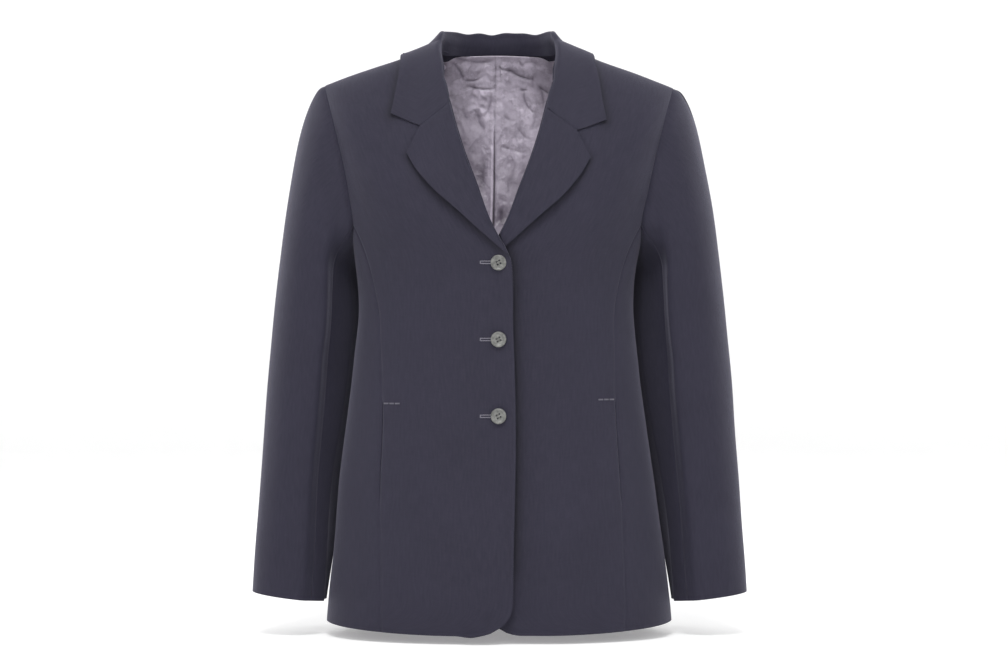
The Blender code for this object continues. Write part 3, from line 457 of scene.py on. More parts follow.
FAR_UNEVEN = 0.12
PLACE_UNEVEN = 0.06
STITCH_LEAN = 0.1         # mm to a radian of a stitch
TACK_OVER = {"right": -4.3, "left": 0.3}  # height of the tacks over POCKET_TOP
TACK_COUNT = 3
TACK_SLANT = 0.03
TACK_START = 2.2
TACK_PITCH = 6.6
TACK_LENGTH = 5.4
TACK_STRANDS = (-0.45, 0.1, 0.6)
TACK_HEIGHT = (0.05, 0.45)
TACK_THREAD_RADIUS = 0.36


# --- tables and curves ---------------------------------------------------------------------------

def column(rows, name):
    """One named value of every row."""
    return np.array([getattr(row, name) for row in rows], float)


def smooth(at, knots, values):
    """Cubic curve through the values, each knot's slope taken from its neighbours."""
    at = np.clip(np.asarray(at, float), knots[0], knots[-1])
    slopes = np.gradient(values, knots)
    i = np.clip(np.searchsorted(knots, at, side="right") - 1, 0, len(knots) - 2)
    span = knots[i + 1] - knots[i]
    t = (at - knots[i]) / span
    return (
        (1 + 2 * t) * (1 - t) ** 2 * values[i]
        + t * (1 - t) ** 2 * span * slopes[i]
        + t * t * (3 - 2 * t) * values[i + 1]
        + t * t * (t - 1) * span * slopes[i + 1]
    )


def table(rows, name, at, key="z"):
    """A named value of a table, read smoothly between its rows."""
    return smooth(at, column(rows, key), column(rows, name))


def ease(value):
    """0 to 1 with level ends: the cubic 3 v^2 - 2 v^3."""
    value = np.clip(value, 0, 1)
    return value * value * (3 - 2 * value)


def fade(at, start, end):
    """0 up to the start and 1 from the end on, either way round."""
    return ease((at - start) / (end - start))


def bell(distance, width):
    """1 at no distance, falling as exp(-(distance / width)^2)."""
    return np.exp(-((distance / width) ** 2))


def signed_power(value, power):
    """Power of the size of a value, with its sign kept."""
    return np.sign(value) * np.abs(value) ** power


def shares(length, count, near=CLOSE_STEPS):
    """0 to 1 along a length in mm: even steps, with closer ones beside both ends."""
    near = np.array(near)
    even = np.linspace(near[-1] * EVEN_FROM, length - near[-1] * EVEN_FROM, count)
    return np.concatenate([[0], near, even, length - near[::-1], [length]]) / length


def closer_first(length, count):
    """The same with closer steps beside the start only."""
    kept = shares(length, count)[:-len(CLOSE_STEPS) - 1]
    return kept / kept[-1]


def closer_last(length, count):
    """The same with closer steps beside the end only."""
    kept = 1 - shares(length, count)[:-len(CLOSE_STEPS) - 1][::-1]
    return (kept - kept[0]) / (1 - kept[0])


def unit(vectors):
    """Vectors made one long."""
    return vectors / np.maximum(np.linalg.norm(vectors, axis=-1, keepdims=True), 1e-9)


# --- the body's form -----------------------------------------------------------------------------

def ridge(x):
    """Height of the ridge: the table over the distance from the centre, tilted."""
    return table(RIDGE, "z", np.abs(x), "x") - SHOULDER_TILT * x


def depth_squared(x, z, back):
    """Square of the body's depth at x and z; it goes on smoothly below zero outside the body.

    A superellipse across, times a quarter circle that rounds the body in under its ridge.
    """
    power = table(BODY, "power", z)
    share = np.abs(x - table(BODY, "centre", z)) / table(BODY, "half", z)
    across = signed_power(1 - share**power, 2 / power)
    rounding = np.where(back, BACK_ROUNDING, FRONT_ROUNDING)
    rounding = rounding + (TIP_ROUNDING - rounding) * fade(np.abs(x), TIP_FROM, TIP_TO)
    below = np.minimum((ridge(x) - z) / rounding, 1)
    depth = np.where(back, table(BODY, "back", z), table(BODY, "front", z))
    return depth**2 * across * (1 - (1 - below) ** 2)


def surface(x, z, back=False):
    """Point on the outer form, in front of or behind the ridge."""
    y = np.sqrt(np.maximum(depth_squared(x, z, back), 0))
    return np.stack([x + 0 * y, np.where(back, y, -y), z + 0 * y], axis=-1)


def slope_out(points, back):
    """The outward slope of y squared less the squared depth, by small steps."""
    step = 0.02
    x, y, z = points[..., 0], points[..., 1], points[..., 2]
    across = (depth_squared(x + step, z, back) - depth_squared(x - step, z, back)) / (2 * step)
    upward = (depth_squared(x, z + step, back) - depth_squared(x, z - step, back)) / (2 * step)
    return np.stack([-across, 2 * y, -upward], axis=-1)


def normals(points, back):
    """Unit directions out of the form."""
    return unit(slope_out(points, back))


def turn_of(x, z):
    """Angle round the section, 0 at the middle of the front and a quarter turn at the side."""
    share = (x - table(BODY, "centre", z)) / table(BODY, "half", z)
    return np.arcsin(np.clip(signed_power(share, table(BODY, "power", z) / 2), -1, 1))


def x_at(turn, z):
    """The x at an angle round the section, the other way from turn_of."""
    share = signed_power(np.sin(turn), 2 / table(BODY, "power", z))
    return table(BODY, "centre", z) + table(BODY, "half", z) * share


# --- creases -------------------------------------------------------------------------------------

# Each is a line from (s, z) to (s2, z2) with a bow, a width and a depth, below zero for a trough.
# On the body s is the way round from the centre front in mm, to the wearer's left.
Crease = namedtuple("Crease", "s z s2 z2 bow width depth")
CREASE_START = (-0.2, 0.3)    # shares of its length between which a crease fades in, and out
CREASE_END = (1.2, 0.7)
BODY_CREASES = (
    Crease(-205, -262, -120, -318, 6, 20, -1.0), Crease(-212, -300, -140, -338, -5, 16, -0.8),
    Crease(-198, -232, -150, -300, 8, 14, 0.7), Crease(-60, -330, -150, -316, 5, 18, -0.5),
    Crease(206, -258, 128, -312, -6, 22, -1.0), Crease(210, -305, 150, -345, 5, 15, -0.8),
    Crease(196, -236, 152, -290, -7, 14, 0.7), Crease(70, -336, 158, -322, -5, 19, -0.5),
    Crease(-120, -395, -128, -560, 5, 26, -0.7), Crease(132, -400, 140, -585, -5, 24, -0.6),
    Crease(-62, -440, -70, -640, 4, 30, 0.6), Crease(58, -450, 72, -655, -5, 30, 0.5),
    Crease(-170, -120, -120, -205, 7, 17, -0.9), Crease(176, -125, 122, -212, -7, 18, -0.8),
    Crease(-100, -60, -150, -120, 5, 20, 0.5), Crease(105, -62, 150, -126, -4, 20, 0.5),
    Crease(-28, -268, -105, -290, -4, 15, -0.5), Crease(-24, -352, -90, -372, 4, 16, -0.45),
    Crease(-26, -436, -88, -452, 3, 18, -0.4),
    Crease(392, -60, 330, -150, 10, 22, -1.4), Crease(545, -58, 606, -140, -9, 20, -1.3),
    Crease(330, -130, 345, -260, 8, 18, -1.2), Crease(602, -125, 590, -270, -8, 19, -1.2),
    Crease(300, -300, 440, -336, 8, 20, -1.5), Crease(640, -296, 505, -330, -8, 22, -1.5),
    Crease(310, -342, 430, -322, -6, 15, 1.0), Crease(632, -346, 512, -352, 6, 16, 1.0),
    Crease(360, -390, 352, -600, 6, 28, -1.2), Crease(585, -400, 596, -610, -6, 30, -1.3),
    Crease(420, -420, 415, -655, 4, 26, 0.9), Crease(525, -430, 532, -660, -4, 24, 0.8),
    Crease(430, -30, 512, -34, 6, 10, -1.0), Crease(445, -52, 500, -50, -5, 9, -0.7),
)
GIRTH_RADIUS = 150        # s is this times the angle round the body
GIRTH_SQUASH = 1.6        # whose depth counts this many times

# On a sleeve s is the degrees round it: 0 outer, 90 back, 180 inner, 270 front.
SLEEVE_CREASES = (
    Crease(300, -95, 285, -185, 8, 13, -0.9), Crease(330, -70, 322, -150, 6, 12, 0.6),
    Crease(60, -90, 80, -190, -8, 14, -1.6), Crease(100, -120, 110, -220, 7, 12, -1.5),
    Crease(40, -250, 120, -318, 10, 15, -1.9), Crease(35, -322, 128, -352, -9, 14, -2.1),
    Crease(45, -372, 130, -374, 8, 15, -2.0), Crease(40, -350, 110, -338, 6, 10, 1.2),
    Crease(60, -420, 135, -398, -7, 17, -1.6), Crease(285, -330, 225, -362, -6, 15, -1.0),
    Crease(270, -372, 220, -384, 5, 15, -0.8), Crease(300, -420, 292, -620, 5, 16, 0.7),
    Crease(330, -230, 326, -420, -4, 18, -0.5), Crease(258, -430, 262, -610, -6, 15, -0.7),
    Crease(20, -440, 25, -630, 6, 20, -0.9), Crease(75, -480, 70, -635, -5, 16, 0.9),
    Crease(350, -300, 352, -520, 4, 20, 0.5),
)

# On the lining s is x, and its creases are soft long ones and sharp short ones.
LINING_CREASES = (
    Crease(-67, 6, -41, -3, 2, 2.1, -2), Crease(-41, -3, -12, -3, 1, 1.8, -1.6),
    Crease(-61, -5, -47, -24, -2, 1.7, -2), Crease(-47, -24, -25, -22, 2, 1.5, -1.6),
    Crease(-41, -31, -8, -35, 2, 1.5, -1.8), Crease(25, -37, 34, -36, 0, 1.4, -1.3),
    Crease(-4, -8, 18, -14, 1.5, 1.4, -1.6), Crease(10, -13, 40, -24, 1.5, 1.4, -2.4),
    Crease(23, -2, 29, -9, 1, 1.7, -1.6), Crease(29, -5, 48, -8, -2, 1.5, -1.4),
    Crease(41, -20, 41, -35, 1, 1.4, -1.6), Crease(47, -31, 64, -42, 2, 1.8, -2),
    Crease(49, -35, 53, -60, -2, 1.7, -1.8), Crease(29, -38, 40, -64, 4, 1.5, -1.8),
    Crease(62, 0, 71, -22, 2, 6, -2.6), Crease(-72, 6, -69, -22, -1, 5, -2.6),
    Crease(-61, -35, -60, -49, 1, 1.8, -1.4), Crease(-47, -55, -38, -75, 3, 5, -1.2),
    Crease(-27, -60, -19, -86, 4, 3.4, -1.3), Crease(-12, -40, -19, -68, -3, 1.8, -1.3),
    Crease(-17, -119, -23, -160, 2, 8, -1.8), Crease(3, -68, 16, -75, 1, 2.1, -1),
    Crease(21, -84, 34, -97, 1, 1.7, -1.2), Crease(-1, -105, 32, -114, 1, 1.7, -1),
    Crease(27, -117, 21, -151, 2, 5, 1), Crease(16, -123, 10, -160, -2, 6, -1.2),
    Crease(-1, -169, 7, -174, 1, 2.1, -0.9), Crease(-56, -59, -46, -111, 2, 7, -1.2),
    Crease(-47, -98, -31, -154, 0, 8, -1), Crease(30, -123, 18, -178, -2, 7, -1.3),
    Crease(-56, -43, -38, -98, 2, 6, 0.8), Crease(-16, -80, -14, -172, 0, 2.1, 1),
    Crease(5, -43, 14, -62, 2, 5, 0.8), Crease(46, -49, 36, -98, 2, 5, 0.8),
    Crease(0, -182, 3, -204, 0, 7, -2.2),
)


# Uneven waves of a surface: their length, height and seed.
Ripple = namedtuple("Ripple", "length amount seed")
BODY_RIPPLES = (Ripple(150, 0.35, 3), Ripple(46, 0.10, 4))
FALL_RIPPLE = Ripple(60, 0.25, 21)
SLEEVE_RIPPLE = Ripple(110, 0.35, 11)
POCKET_RIPPLE = Ripple(30, 0.2, 51)
CRUMPLES = (Ripple(26, 1.15, 31), Ripple(15, 0.62, 41), Ripple(8.5, 0.30, 51))
CRUMPLE_PATCHES = Ripple(60, 1.2, 7)      # where the crumples are strong or weak
WAVES = 9                 # waves in one ripple, and the range of their lengths as shares
WAVE_SHARES = (0.7, 1.5)


def creased(s, z, creases, sharp=2.0):
    """Depth of all creases at a place: a bell across each bowed line, faded beyond its ends.

    The bell is exp(-|distance / width| ** sharp), so that 2 is round and 1 comes to an edge.
    """
    total = np.zeros(np.broadcast(s, z).shape)
    for c in creases:
        run, rise = c.s2 - c.s, c.z2 - c.z
        length = math.hypot(run, rise)
        along = ((s - c.s) * run + (z - c.z) * rise) / length**2
        across = ((s - c.s) * rise - (z - c.z) * run) / length
        across = across - c.bow * (1 - (2 * along - 1) ** 2)
        ends = fade(along, *CREASE_START) * fade(along, *CREASE_END)
        total += c.depth * np.exp(-(np.abs(across / c.width) ** sharp)) * ends
    return total


def ripple(points, length, amount, seed):
    """Low uneven waves: plane waves of about one length, in seeded directions, added up."""
    draw = np.random.default_rng(seed)
    total = np.zeros(points.shape[:-1])
    for _ in range(WAVES):
        way = draw.normal(size=3)
        way /= np.linalg.norm(way) * length * draw.uniform(*WAVE_SHARES) / (2 * math.pi)
        total += np.sin(points @ way + draw.uniform(0, 2 * math.pi))
    return amount * total / math.sqrt(WAVES)


def body_folds(points):
    """Creases and faint waves of the body's cloth, one field for every piece that lies on it."""
    x, y, z = points[..., 0], points[..., 1], points[..., 2]
    s = np.arctan2(x - MID, -y * GIRTH_SQUASH) * GIRTH_RADIUS
    round_body = 2 * math.pi * GIRTH_RADIUS
    folds = creased(s, z, BODY_CREASES) + creased(s + round_body, z, BODY_CREASES)
    for waves in BODY_RIPPLES:
        folds = folds + ripple(points, *waves)
    return folds


# --- grids to meshes -----------------------------------------------------------------------------

def grid_normals(grid):
    """Unit normals of a grid from its own steps."""
    return unit(np.cross(np.gradient(grid, axis=1), np.gradient(grid, axis=0)))


def along_lengths(grid, axis):
    """Distance in mm along the grid's lines from their start, and each line's whole length."""
    steps = np.linalg.norm(np.diff(grid, axis=axis), axis=-1)
    start = np.zeros_like(np.take(steps, [0], axis=axis))
    run = np.concatenate([start, np.cumsum(steps, axis=axis)], axis=axis)
    return run, np.take(run, [-1], axis=axis)


def sew(points, out, high=0.0, first=0.0, last=0.0):
    """Sink the named edges of a grid into their seams: a bell of SEAM_WIDTH beside each."""
    up, up_end = along_lengths(points, 0)
    across, across_end = along_lengths(points, 1)
    sink = high * bell(up_end - up, SEAM_WIDTH)
    sink = sink + first * bell(across, SEAM_WIDTH) + last * bell(across_end - across, SEAM_WIDTH)
    return points - out * sink[..., None]


def lapped(points, amount=SEAM_LAP):
    """Let the four edges of a grid run on past their seams."""
    moved = points.copy()
    for axis in (0, 1):
        grid = np.moveaxis(points, axis, 0)
        target = np.moveaxis(moved, axis, 0)
        for edge, near in ((0, 1), (-1, -2)):
            target[edge] += unit(grid[edge] - grid[near]) * amount
    return moved


def grid_mesh(name, points, outward):
    """Mesh of a grid in mm, its faces turned to the outward side, with a UV map in metres."""
    rows, columns = points.shape[:2]
    index = np.arange(rows * columns).reshape(rows, columns)
    quads = np.stack([index[:-1, :-1], index[:-1, 1:], index[1:, 1:], index[1:, :-1]], -1)
    across_way, up_way = np.gradient(points, axis=1), np.gradient(points, axis=0)
    if (np.cross(across_way, up_way) * outward).sum() < 0:
        quads = quads[..., ::-1]
    mesh = bpy.data.meshes.new(name)
    mesh.from_pydata((points.reshape(-1, 3) * MM).tolist(), [], quads.reshape(-1, 4).tolist())
    across = along_lengths(points, 1)[0]
    up = along_lengths(points, 0)[0]
    places = np.stack([across, up], -1).reshape(-1, 2) * MM
    corner = np.empty(len(mesh.loops), np.int32)
    mesh.loops.foreach_get("vertex_index", corner)
    layer = mesh.uv_layers.new(name="cloth")
    layer.data.foreach_set("uv", places[corner].astype(np.float32).ravel())
    mesh.polygons.foreach_set("use_smooth", np.ones(len(mesh.polygons), bool))
    mesh.update()
    return mesh


def link(name, data):
    """Object with this mesh, lamp or camera, in the scene."""
    made = bpy.data.objects.new(name, data)
    bpy.context.scene.collection.objects.link(made)
    return made


def near_edges(points):
    """Whether a grid's points lie within TURN_IN of its edges."""
    near = np.zeros(points.shape[:2], bool)
    for axis in (0, 1):
        run, whole = along_lengths(points, axis)
        near |= np.minimum(run, whole - run) < TURN_IN
    return near


def piece(name, points, outward, thickness, face, inside, round_edge=EDGE_ROUND, painted_shading=None):
    """Cloth piece with a wall inwards of its grid and softly rounded edges.

    Its inner face has the inside material, but the cloth is turned in by TURN_IN along its edges.
    The point attribute of painted shade goes from 0 in the open to 1 deep in a crease or under an edge, and
    below 0 is a painted highlight.
    """
    mesh = grid_mesh(name, points, outward)
    made = link(name, mesh)
    for skin in (face, inside, face, face):
        mesh.materials.append(skin)
    if painted_shading is not None:
        depth = np.broadcast_to(painted_shading, points.shape[:2]).astype(np.float32)
        layer = mesh.attributes.new("painted_shading", "FLOAT", "POINT")
        layer.data.foreach_set("value", depth.ravel())
    turned_in = near_edges(points)[:-1, :-1].ravel().astype(np.int32)
    mesh.polygons.foreach_set("material_index", 2 * turned_in)
    wall = made.modifiers.new("wall", "SOLIDIFY")
    wall.thickness = thickness * MM
    wall.offset = -1
    wall.material_offset = 0 if face == inside else 1
    if round_edge:
        edge = made.modifiers.new("edge", "BEVEL")
        edge.width = round_edge * MM
        edge.segments = 2
        edge.limit_method = "ANGLE"
        edge.angle_limit = math.radians(ROUNDED_ABOVE)
    return made


def hand_over(made, slot, *nodes):
    """The piece rides on the one body and stands for the nodes named, whose parts it hides. The slot is not
    used.
    """
    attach(made, "root")
    if nodes:
        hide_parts(*nodes)
    return made


# --- materials -----------------------------------------------------------------------------------

# Patterns, in metres or to the metre.
WEAVE_PITCH = 0.00055     # from one thread of the cloth to the next but one
SATIN_PITCH = 0.00035
SLUBS = (420, 60, 1)      # thicker threads along the cloth and across it
CROSS_SLUBS = (70, 420, 1)
STREAKS = (240, 9, 1)
CLOUDS = 16.0
GRAIN = 900.0
CRUMPLING = 42.0
HORN_CLOUDS = 260.0
HORN_FLECKS = 900.0
TWIST = 3200.0
CLOTH_RELIEF = 0.00012
SATIN_RELIEF = 0.0010
HORN_RELIEF = 0.00008
THREAD_RELIEF = 0.0001

# Dark colour of the cloth where shade is painted on it, then its own dark and light tones and its sheen.
CLOTH_PAINTED_SHADE = (0.0030, 0.0027, 0.0055)
CLOTH_DARK = (0.0091, 0.0082, 0.0166)
CLOTH_LIGHT = (0.0222, 0.0203, 0.0375)
CLOTH_SHEEN = (0.80, 0.78, 1.0)
# Dark colour of the satin where shade is painted on it, then the dark and light ends of its tone, between
# which its crumples paint shade and its streaks mottle it.
SATIN_PAINTED_SHADE = (0.105, 0.085, 0.120)
SATIN_DARK = (0.27, 0.235, 0.295)
SATIN_LIGHT = (0.60, 0.54, 0.645)
HORN_DARK = (0.030, 0.030, 0.029)
HORN_MIDDLE = (0.16, 0.16, 0.155)
HORN_LIGHT = (0.150, 0.152, 0.143)
HOLE_COLOUR = (0.150, 0.142, 0.180)
TACK_COLOUR = (0.085, 0.080, 0.105)
STRAND_COLOUR = (0.075, 0.075, 0.070)
PAPER = (0.86, 0.86, 0.86)
PAPER_DARK = (0.85, 0.85, 0.85)
PAPER_LIGHT = (0.88, 0.88, 0.88)
WHITE = (1, 1, 1)
STRAND_TONES = (0.6, 1.3)     # darkest and lightest strand of a thread, as shares of its colour


class Socket:
    """Wraps a node's output, so that arithmetic on it adds Math nodes."""

    def __init__(self, nodes, output):
        self.nodes, self.output = nodes, output

    def math(self, operation, *others):
        return self.nodes.add("ShaderNodeMath", {"operation": operation}, self, *others)

    def __add__(self, other):
        return self.math("ADD", other)

    def __sub__(self, other):
        return self.math("SUBTRACT", other)

    def __mul__(self, other):
        return self.math("MULTIPLY", other)

    def __rsub__(self, other):
        return self.nodes.add("ShaderNodeMath", {"operation": "SUBTRACT"}, other, self)

    __radd__ = __add__
    __rmul__ = __mul__

    def clamp(self, low, high):
        return self.math("MAXIMUM", low).math("MINIMUM", high)

    def part(self, axis):
        """One part of a vector: 0, 1 or 2."""
        made = self.nodes.add("ShaderNodeSeparateXYZ", {}, self)
        return Socket(self.nodes, made.output.node.outputs[axis])


class Nodes:
    """A material's node tree, with one method that adds any node."""

    def __init__(self, name, colour, **constants):
        self.material = bpy.data.materials.new(name)
        self.material.use_nodes = True
        self.material.diffuse_color = (*colour, 1)
        self.tree = self.material.node_tree
        self.shader = self.tree.nodes["Principled BSDF"]
        self.shader.inputs["Base Color"].default_value = (*colour, 1)
        for key, value in constants.items():
            self.shader.inputs[key.replace("_", " ").title()].default_value = value

    def add(self, kind, settings, *values, output=0, **named):
        """One node with its settings, and its inputs by place or by name."""
        node = self.tree.nodes.new(kind)
        for key, value in settings.items():
            setattr(node, key, value)
        pairs = list(enumerate(values)) + [(k.replace("_", " "), v) for k, v in named.items()]
        for key, value in pairs:
            self.put(node.inputs[key], value)
        return Socket(self, node.outputs[output])

    def put(self, target, value):
        """Link or set one input."""
        if isinstance(value, Socket):
            self.tree.links.new(value.output, target)
        else:
            target.default_value = value

    def feed(self, **named):
        """Link or set inputs of the shader."""
        for key, value in named.items():
            self.put(self.shader.inputs[key.replace("_", " ")], value)

    def mix(self, factor, first, second):
        """Blend of two colours."""
        node = self.tree.nodes.new("ShaderNodeMix")
        node.data_type = "RGBA"
        self.put(node.inputs["Factor"], factor)
        for key, value in (("A", first), ("B", second)):
            target = next(i for i in node.inputs if i.name == key and i.type == "RGBA")
            self.put(target, value if isinstance(value, Socket) else (*value, 1))
        return Socket(self, next(o for o in node.outputs if o.type == "RGBA"))

    def coordinates(self, kind):
        """Texture coordinates of this kind."""
        node = self.tree.nodes.new("ShaderNodeTexCoord")
        return Socket(self, node.outputs[kind])

    def scaled(self, vector, scale):
        """Coordinates stretched along each axis."""
        return self.add("ShaderNodeMapping", {}, vector, Scale=scale)

    def noise(self, vector, scale, detail=2.0, roughness=0.5):
        return self.add(
            "ShaderNodeTexNoise", {}, Vector=vector, Scale=scale, Detail=detail, Roughness=roughness,
        )

    def bump(self, height, strength, distance):
        return self.add("ShaderNodeBump", {}, Height=height, Strength=strength, Distance=distance)


def suiting():
    """Fine plain-weave cloth: threads over and under each other, with faint slubs, and shade painted into
    its colour from a point attribute.
    """
    cloth = Nodes("suiting", CLOTH_LIGHT, roughness=0.78, sheen_weight=0.14, sheen_roughness=0.45)
    cloth.shader.inputs["Sheen Tint"].default_value = (*CLOTH_SHEEN, 1)
    cloth.shader.inputs["Specular IOR Level"].default_value = 0.30
    place = cloth.coordinates("UV")
    turns = 2 * math.pi / WEAVE_PITCH
    warp = (place.part(0) * turns).math("SINE")
    weft = (place.part(1) * turns).math("SINE")
    weave = warp * weft * 0.5 + 0.5
    slub = cloth.noise(cloth.scaled(place, SLUBS), 1.0, 2.0)
    cross = cloth.noise(cloth.scaled(place, CROSS_SLUBS), 1.0, 2.0)
    cloud = cloth.noise(cloth.coordinates("Object"), CLOUDS, 3.0)
    grain = cloth.noise(cloth.coordinates("Object"), GRAIN, 2.0)
    tone = weave * 0.22 + slub * 0.42 + cross * 0.30 + cloud * 0.30 + grain * 0.30 - 0.27
    # Painted shade: the point attribute mixes the colour towards a dark one where shade is painted on a
    # piece.
    painted_shading = cloth.add("ShaderNodeAttribute", {"attribute_name": "painted_shading"}, output="Fac")
    open_colour = cloth.mix(tone.clamp(0, 1), CLOTH_DARK, CLOTH_LIGHT)
    cloth.feed(
        Base_Color=cloth.mix(painted_shading.clamp(0, 1), open_colour, CLOTH_PAINTED_SHADE),
        Roughness=0.90 - slub * 0.16,
        Normal=cloth.bump(weave + slub * 0.8 + cross * 0.6 + grain * 0.8, 0.32, CLOTH_RELIEF),
    )
    return cloth.material


def satin():
    """Lining: glossy along the weft, with crumples too small for the mesh, shade painted into its colour
    along their relief, a mottled tone, and painted shade and highlight from a point attribute.
    """
    lining = Nodes("satin_lining", SATIN_LIGHT, roughness=0.36, sheen_weight=0.25, sheen_roughness=0.35)
    lining.shader.inputs["Specular IOR Level"].default_value = 0.55
    place = lining.coordinates("UV")
    crumple = lining.noise(lining.coordinates("Object"), CRUMPLING, 5.0, 0.62)
    streak = lining.noise(lining.scaled(place, STREAKS), 1.0, 2.0)
    # Shade is painted into the tone where the crumples' relief is low and along their sharp creases; the
    # streaks mottle it at random. The point attribute adds painted shade, and below zero a painted
    # highlight.
    sharp = 1 - ((crumple - 0.5).math("ABSOLUTE") * 14).clamp(0, 1)
    weft = (place.part(1) * (2 * math.pi / SATIN_PITCH)).math("SINE")
    painted_shading = lining.add("ShaderNodeAttribute", {"attribute_name": "painted_shading"}, output="Fac")
    tone = crumple * 1.6 - 0.18 - sharp * 0.34 + streak * 0.2 - painted_shading.clamp(-1, 0)
    satin_colour = lining.mix(tone.clamp(0, 1), SATIN_DARK, SATIN_LIGHT)
    lining.feed(
        Base_Color=lining.mix(painted_shading.clamp(0, 1), satin_colour, SATIN_PAINTED_SHADE),
        Roughness=0.33 + crumple * 0.14,
        Normal=lining.bump(crumple * 3 - sharp * 0.22 + weft * 0.02, 0.55, SATIN_RELIEF),
    )
    return lining.material


def horn():
    """Mottled grey button."""
    button = Nodes(
        "horn_button", HORN_MIDDLE, roughness=0.34, coat_weight=0.15, coat_roughness=0.25,
    )
    cloud = button.noise(button.coordinates("Object"), HORN_CLOUDS, 4.0, 0.6)
    fleck = button.noise(button.coordinates("Object"), HORN_FLECKS, 2.0)
    button.feed(
        Base_Color=button.mix((cloud * 2.2 - 0.62 + fleck * 0.3).clamp(0, 1), HORN_DARK, HORN_LIGHT),
        Roughness=0.28 + cloud * 0.2,
        Normal=button.bump(cloud, 0.25, HORN_RELIEF),
    )
    return button.material


def thread(name, colour):
    """Sewing thread, its strands told apart by a very fine noise."""
    made = Nodes(name, colour, roughness=0.62, sheen_weight=0.2)
    strands = made.noise(made.coordinates("Object"), TWIST, 2.0)
    dark, light = (tuple(tone * c for c in colour) for tone in STRAND_TONES)
    made.feed(
        Base_Color=made.mix(strands, dark, light),
        Normal=made.bump(strands, 0.4, THREAD_RELIEF),
    )
    return made.material


SUITING = suiting()
SATIN = satin()
HORN = horn()
HOLE_THREAD = thread("buttonhole_thread", HOLE_COLOUR)
TACK_THREAD = thread("tack_thread", TACK_COLOUR)
BUTTON_THREAD = thread("button_thread", STRAND_COLOUR)


# --- body panels ---------------------------------------------------------------------------------

def armhole_rise(degrees):
    """Height over the foot of the armhole at this angle from the shoulder tip."""
    return (ARMHOLE_TOP - ARMHOLE_FOOT) / 2 * (1 + np.cos(np.radians(degrees)))


SEAM_TOP = ARMHOLE_FOOT + float(armhole_rise(SIDE_SEAM_TURN))


def armhole(side, degrees):
    """x, z and whether behind, round the armhole: 0 is the shoulder tip, 180 the foot."""
    degrees = np.asarray(degrees, float) % 360
    back = degrees <= 180
    z = ARMHOLE_FOOT + armhole_rise(degrees)
    share = np.where(back, table(ARMHOLE, "back", z), table(ARMHOLE, "front", z))
    x = table(BODY, "centre", z) + side * share * table(BODY, "half", z)
    tip = np.clip(1 - np.minimum(degrees, 360 - degrees) / ARMHOLE_TIP, 0, 1)
    return x, z + (ridge(x) - z) * tip**2, back


def side_seam(side, z, where):
    """x of the front or back seam of a side panel: a share of the half width."""
    return table(BODY, "centre", z) + side * table(SIDE_SEAM, where, z) * table(BODY, "half", z)


def hem(x):
    """Height of the hem: the front hangs a little lower than the sides."""
    return HEM_SIDE - HEM_FRONT_DROP * (1 - np.clip(np.abs(x - MID) / HEM_LEVEL_AT, 0, 1) ** 3)


def front_edge(side, z):
    """x of a front's edge and roll line."""
    return MID + side * table(FRONT_EDGE, "edge", z)


UP_SEAM = closer_first(*SIDE_SEAM_STEPS)  # shares up the side seam, close at the hem only
UP_ARM = closer_last(*ARMHOLE_STEPS)      # shares up the armhole, close at the shoulder only


def rows_between(inner, outer, across, top):
    """x and z of a panel's rows from one boundary to the other, even round the body.

    Above the side seam the rows lean more and more towards the shape of the top line.
    """
    u = across[None, :]
    first = turn_of(inner[:, 0], inner[:, 1])[:, None]
    last = turn_of(outer[:, 0], outer[:, 1])[:, None]
    turn = first + (last - first) * u
    straight = inner[:, 1:] + (outer[:, 1:] - inner[:, 1:]) * u
    rising = np.concatenate([0 * UP_SEAM, UP_ARM[1:]])
    weight = ease(rising)[:, None]
    line = inner[-1, 1] + (outer[-1, 1] - inner[-1, 1]) * u
    z = straight
    for _ in range(ROUNDS):
        z = straight + weight * (top(x_at(turn, z)) - line)
    near_hem = np.concatenate([np.clip(1 - UP_SEAM / HEM_SHARE, 0, 1), 0 * UP_ARM[1:]])[:, None]
    x = x_at(turn, z)
    ends = hem(x[:1, :1]) * (1 - u) + hem(x[:1, -1:]) * u
    z = z + near_hem * (hem(x[:1]) - ends)
    return x_at(turn, z), z


def rounded_corner(side):
    """x and z up the front's edge at the rows of the side seam: a quarter ellipse, then the edge."""
    corner = UP_SEAM < CORNER_SHARE
    corner_end = UP_SEAM[corner][-1]
    angle = np.minimum(np.pi / 2 * UP_SEAM / corner_end, np.pi / 2)
    straight = (UP_SEAM - corner_end) / (1 - corner_end)
    z = np.where(
        corner,
        HEM_CORNER_TOP - HEM_CORNER_HEIGHT * np.cos(angle),
        HEM_CORNER_TOP + (SEAM_TOP - HEM_CORNER_TOP) * straight,
    )
    x = np.where(
        corner,
        front_edge(side, HEM_CORNER_TOP) + side * HEM_CORNER_WIDTH * (1 - np.sin(angle)),
        front_edge(side, z),
    )
    return x, z


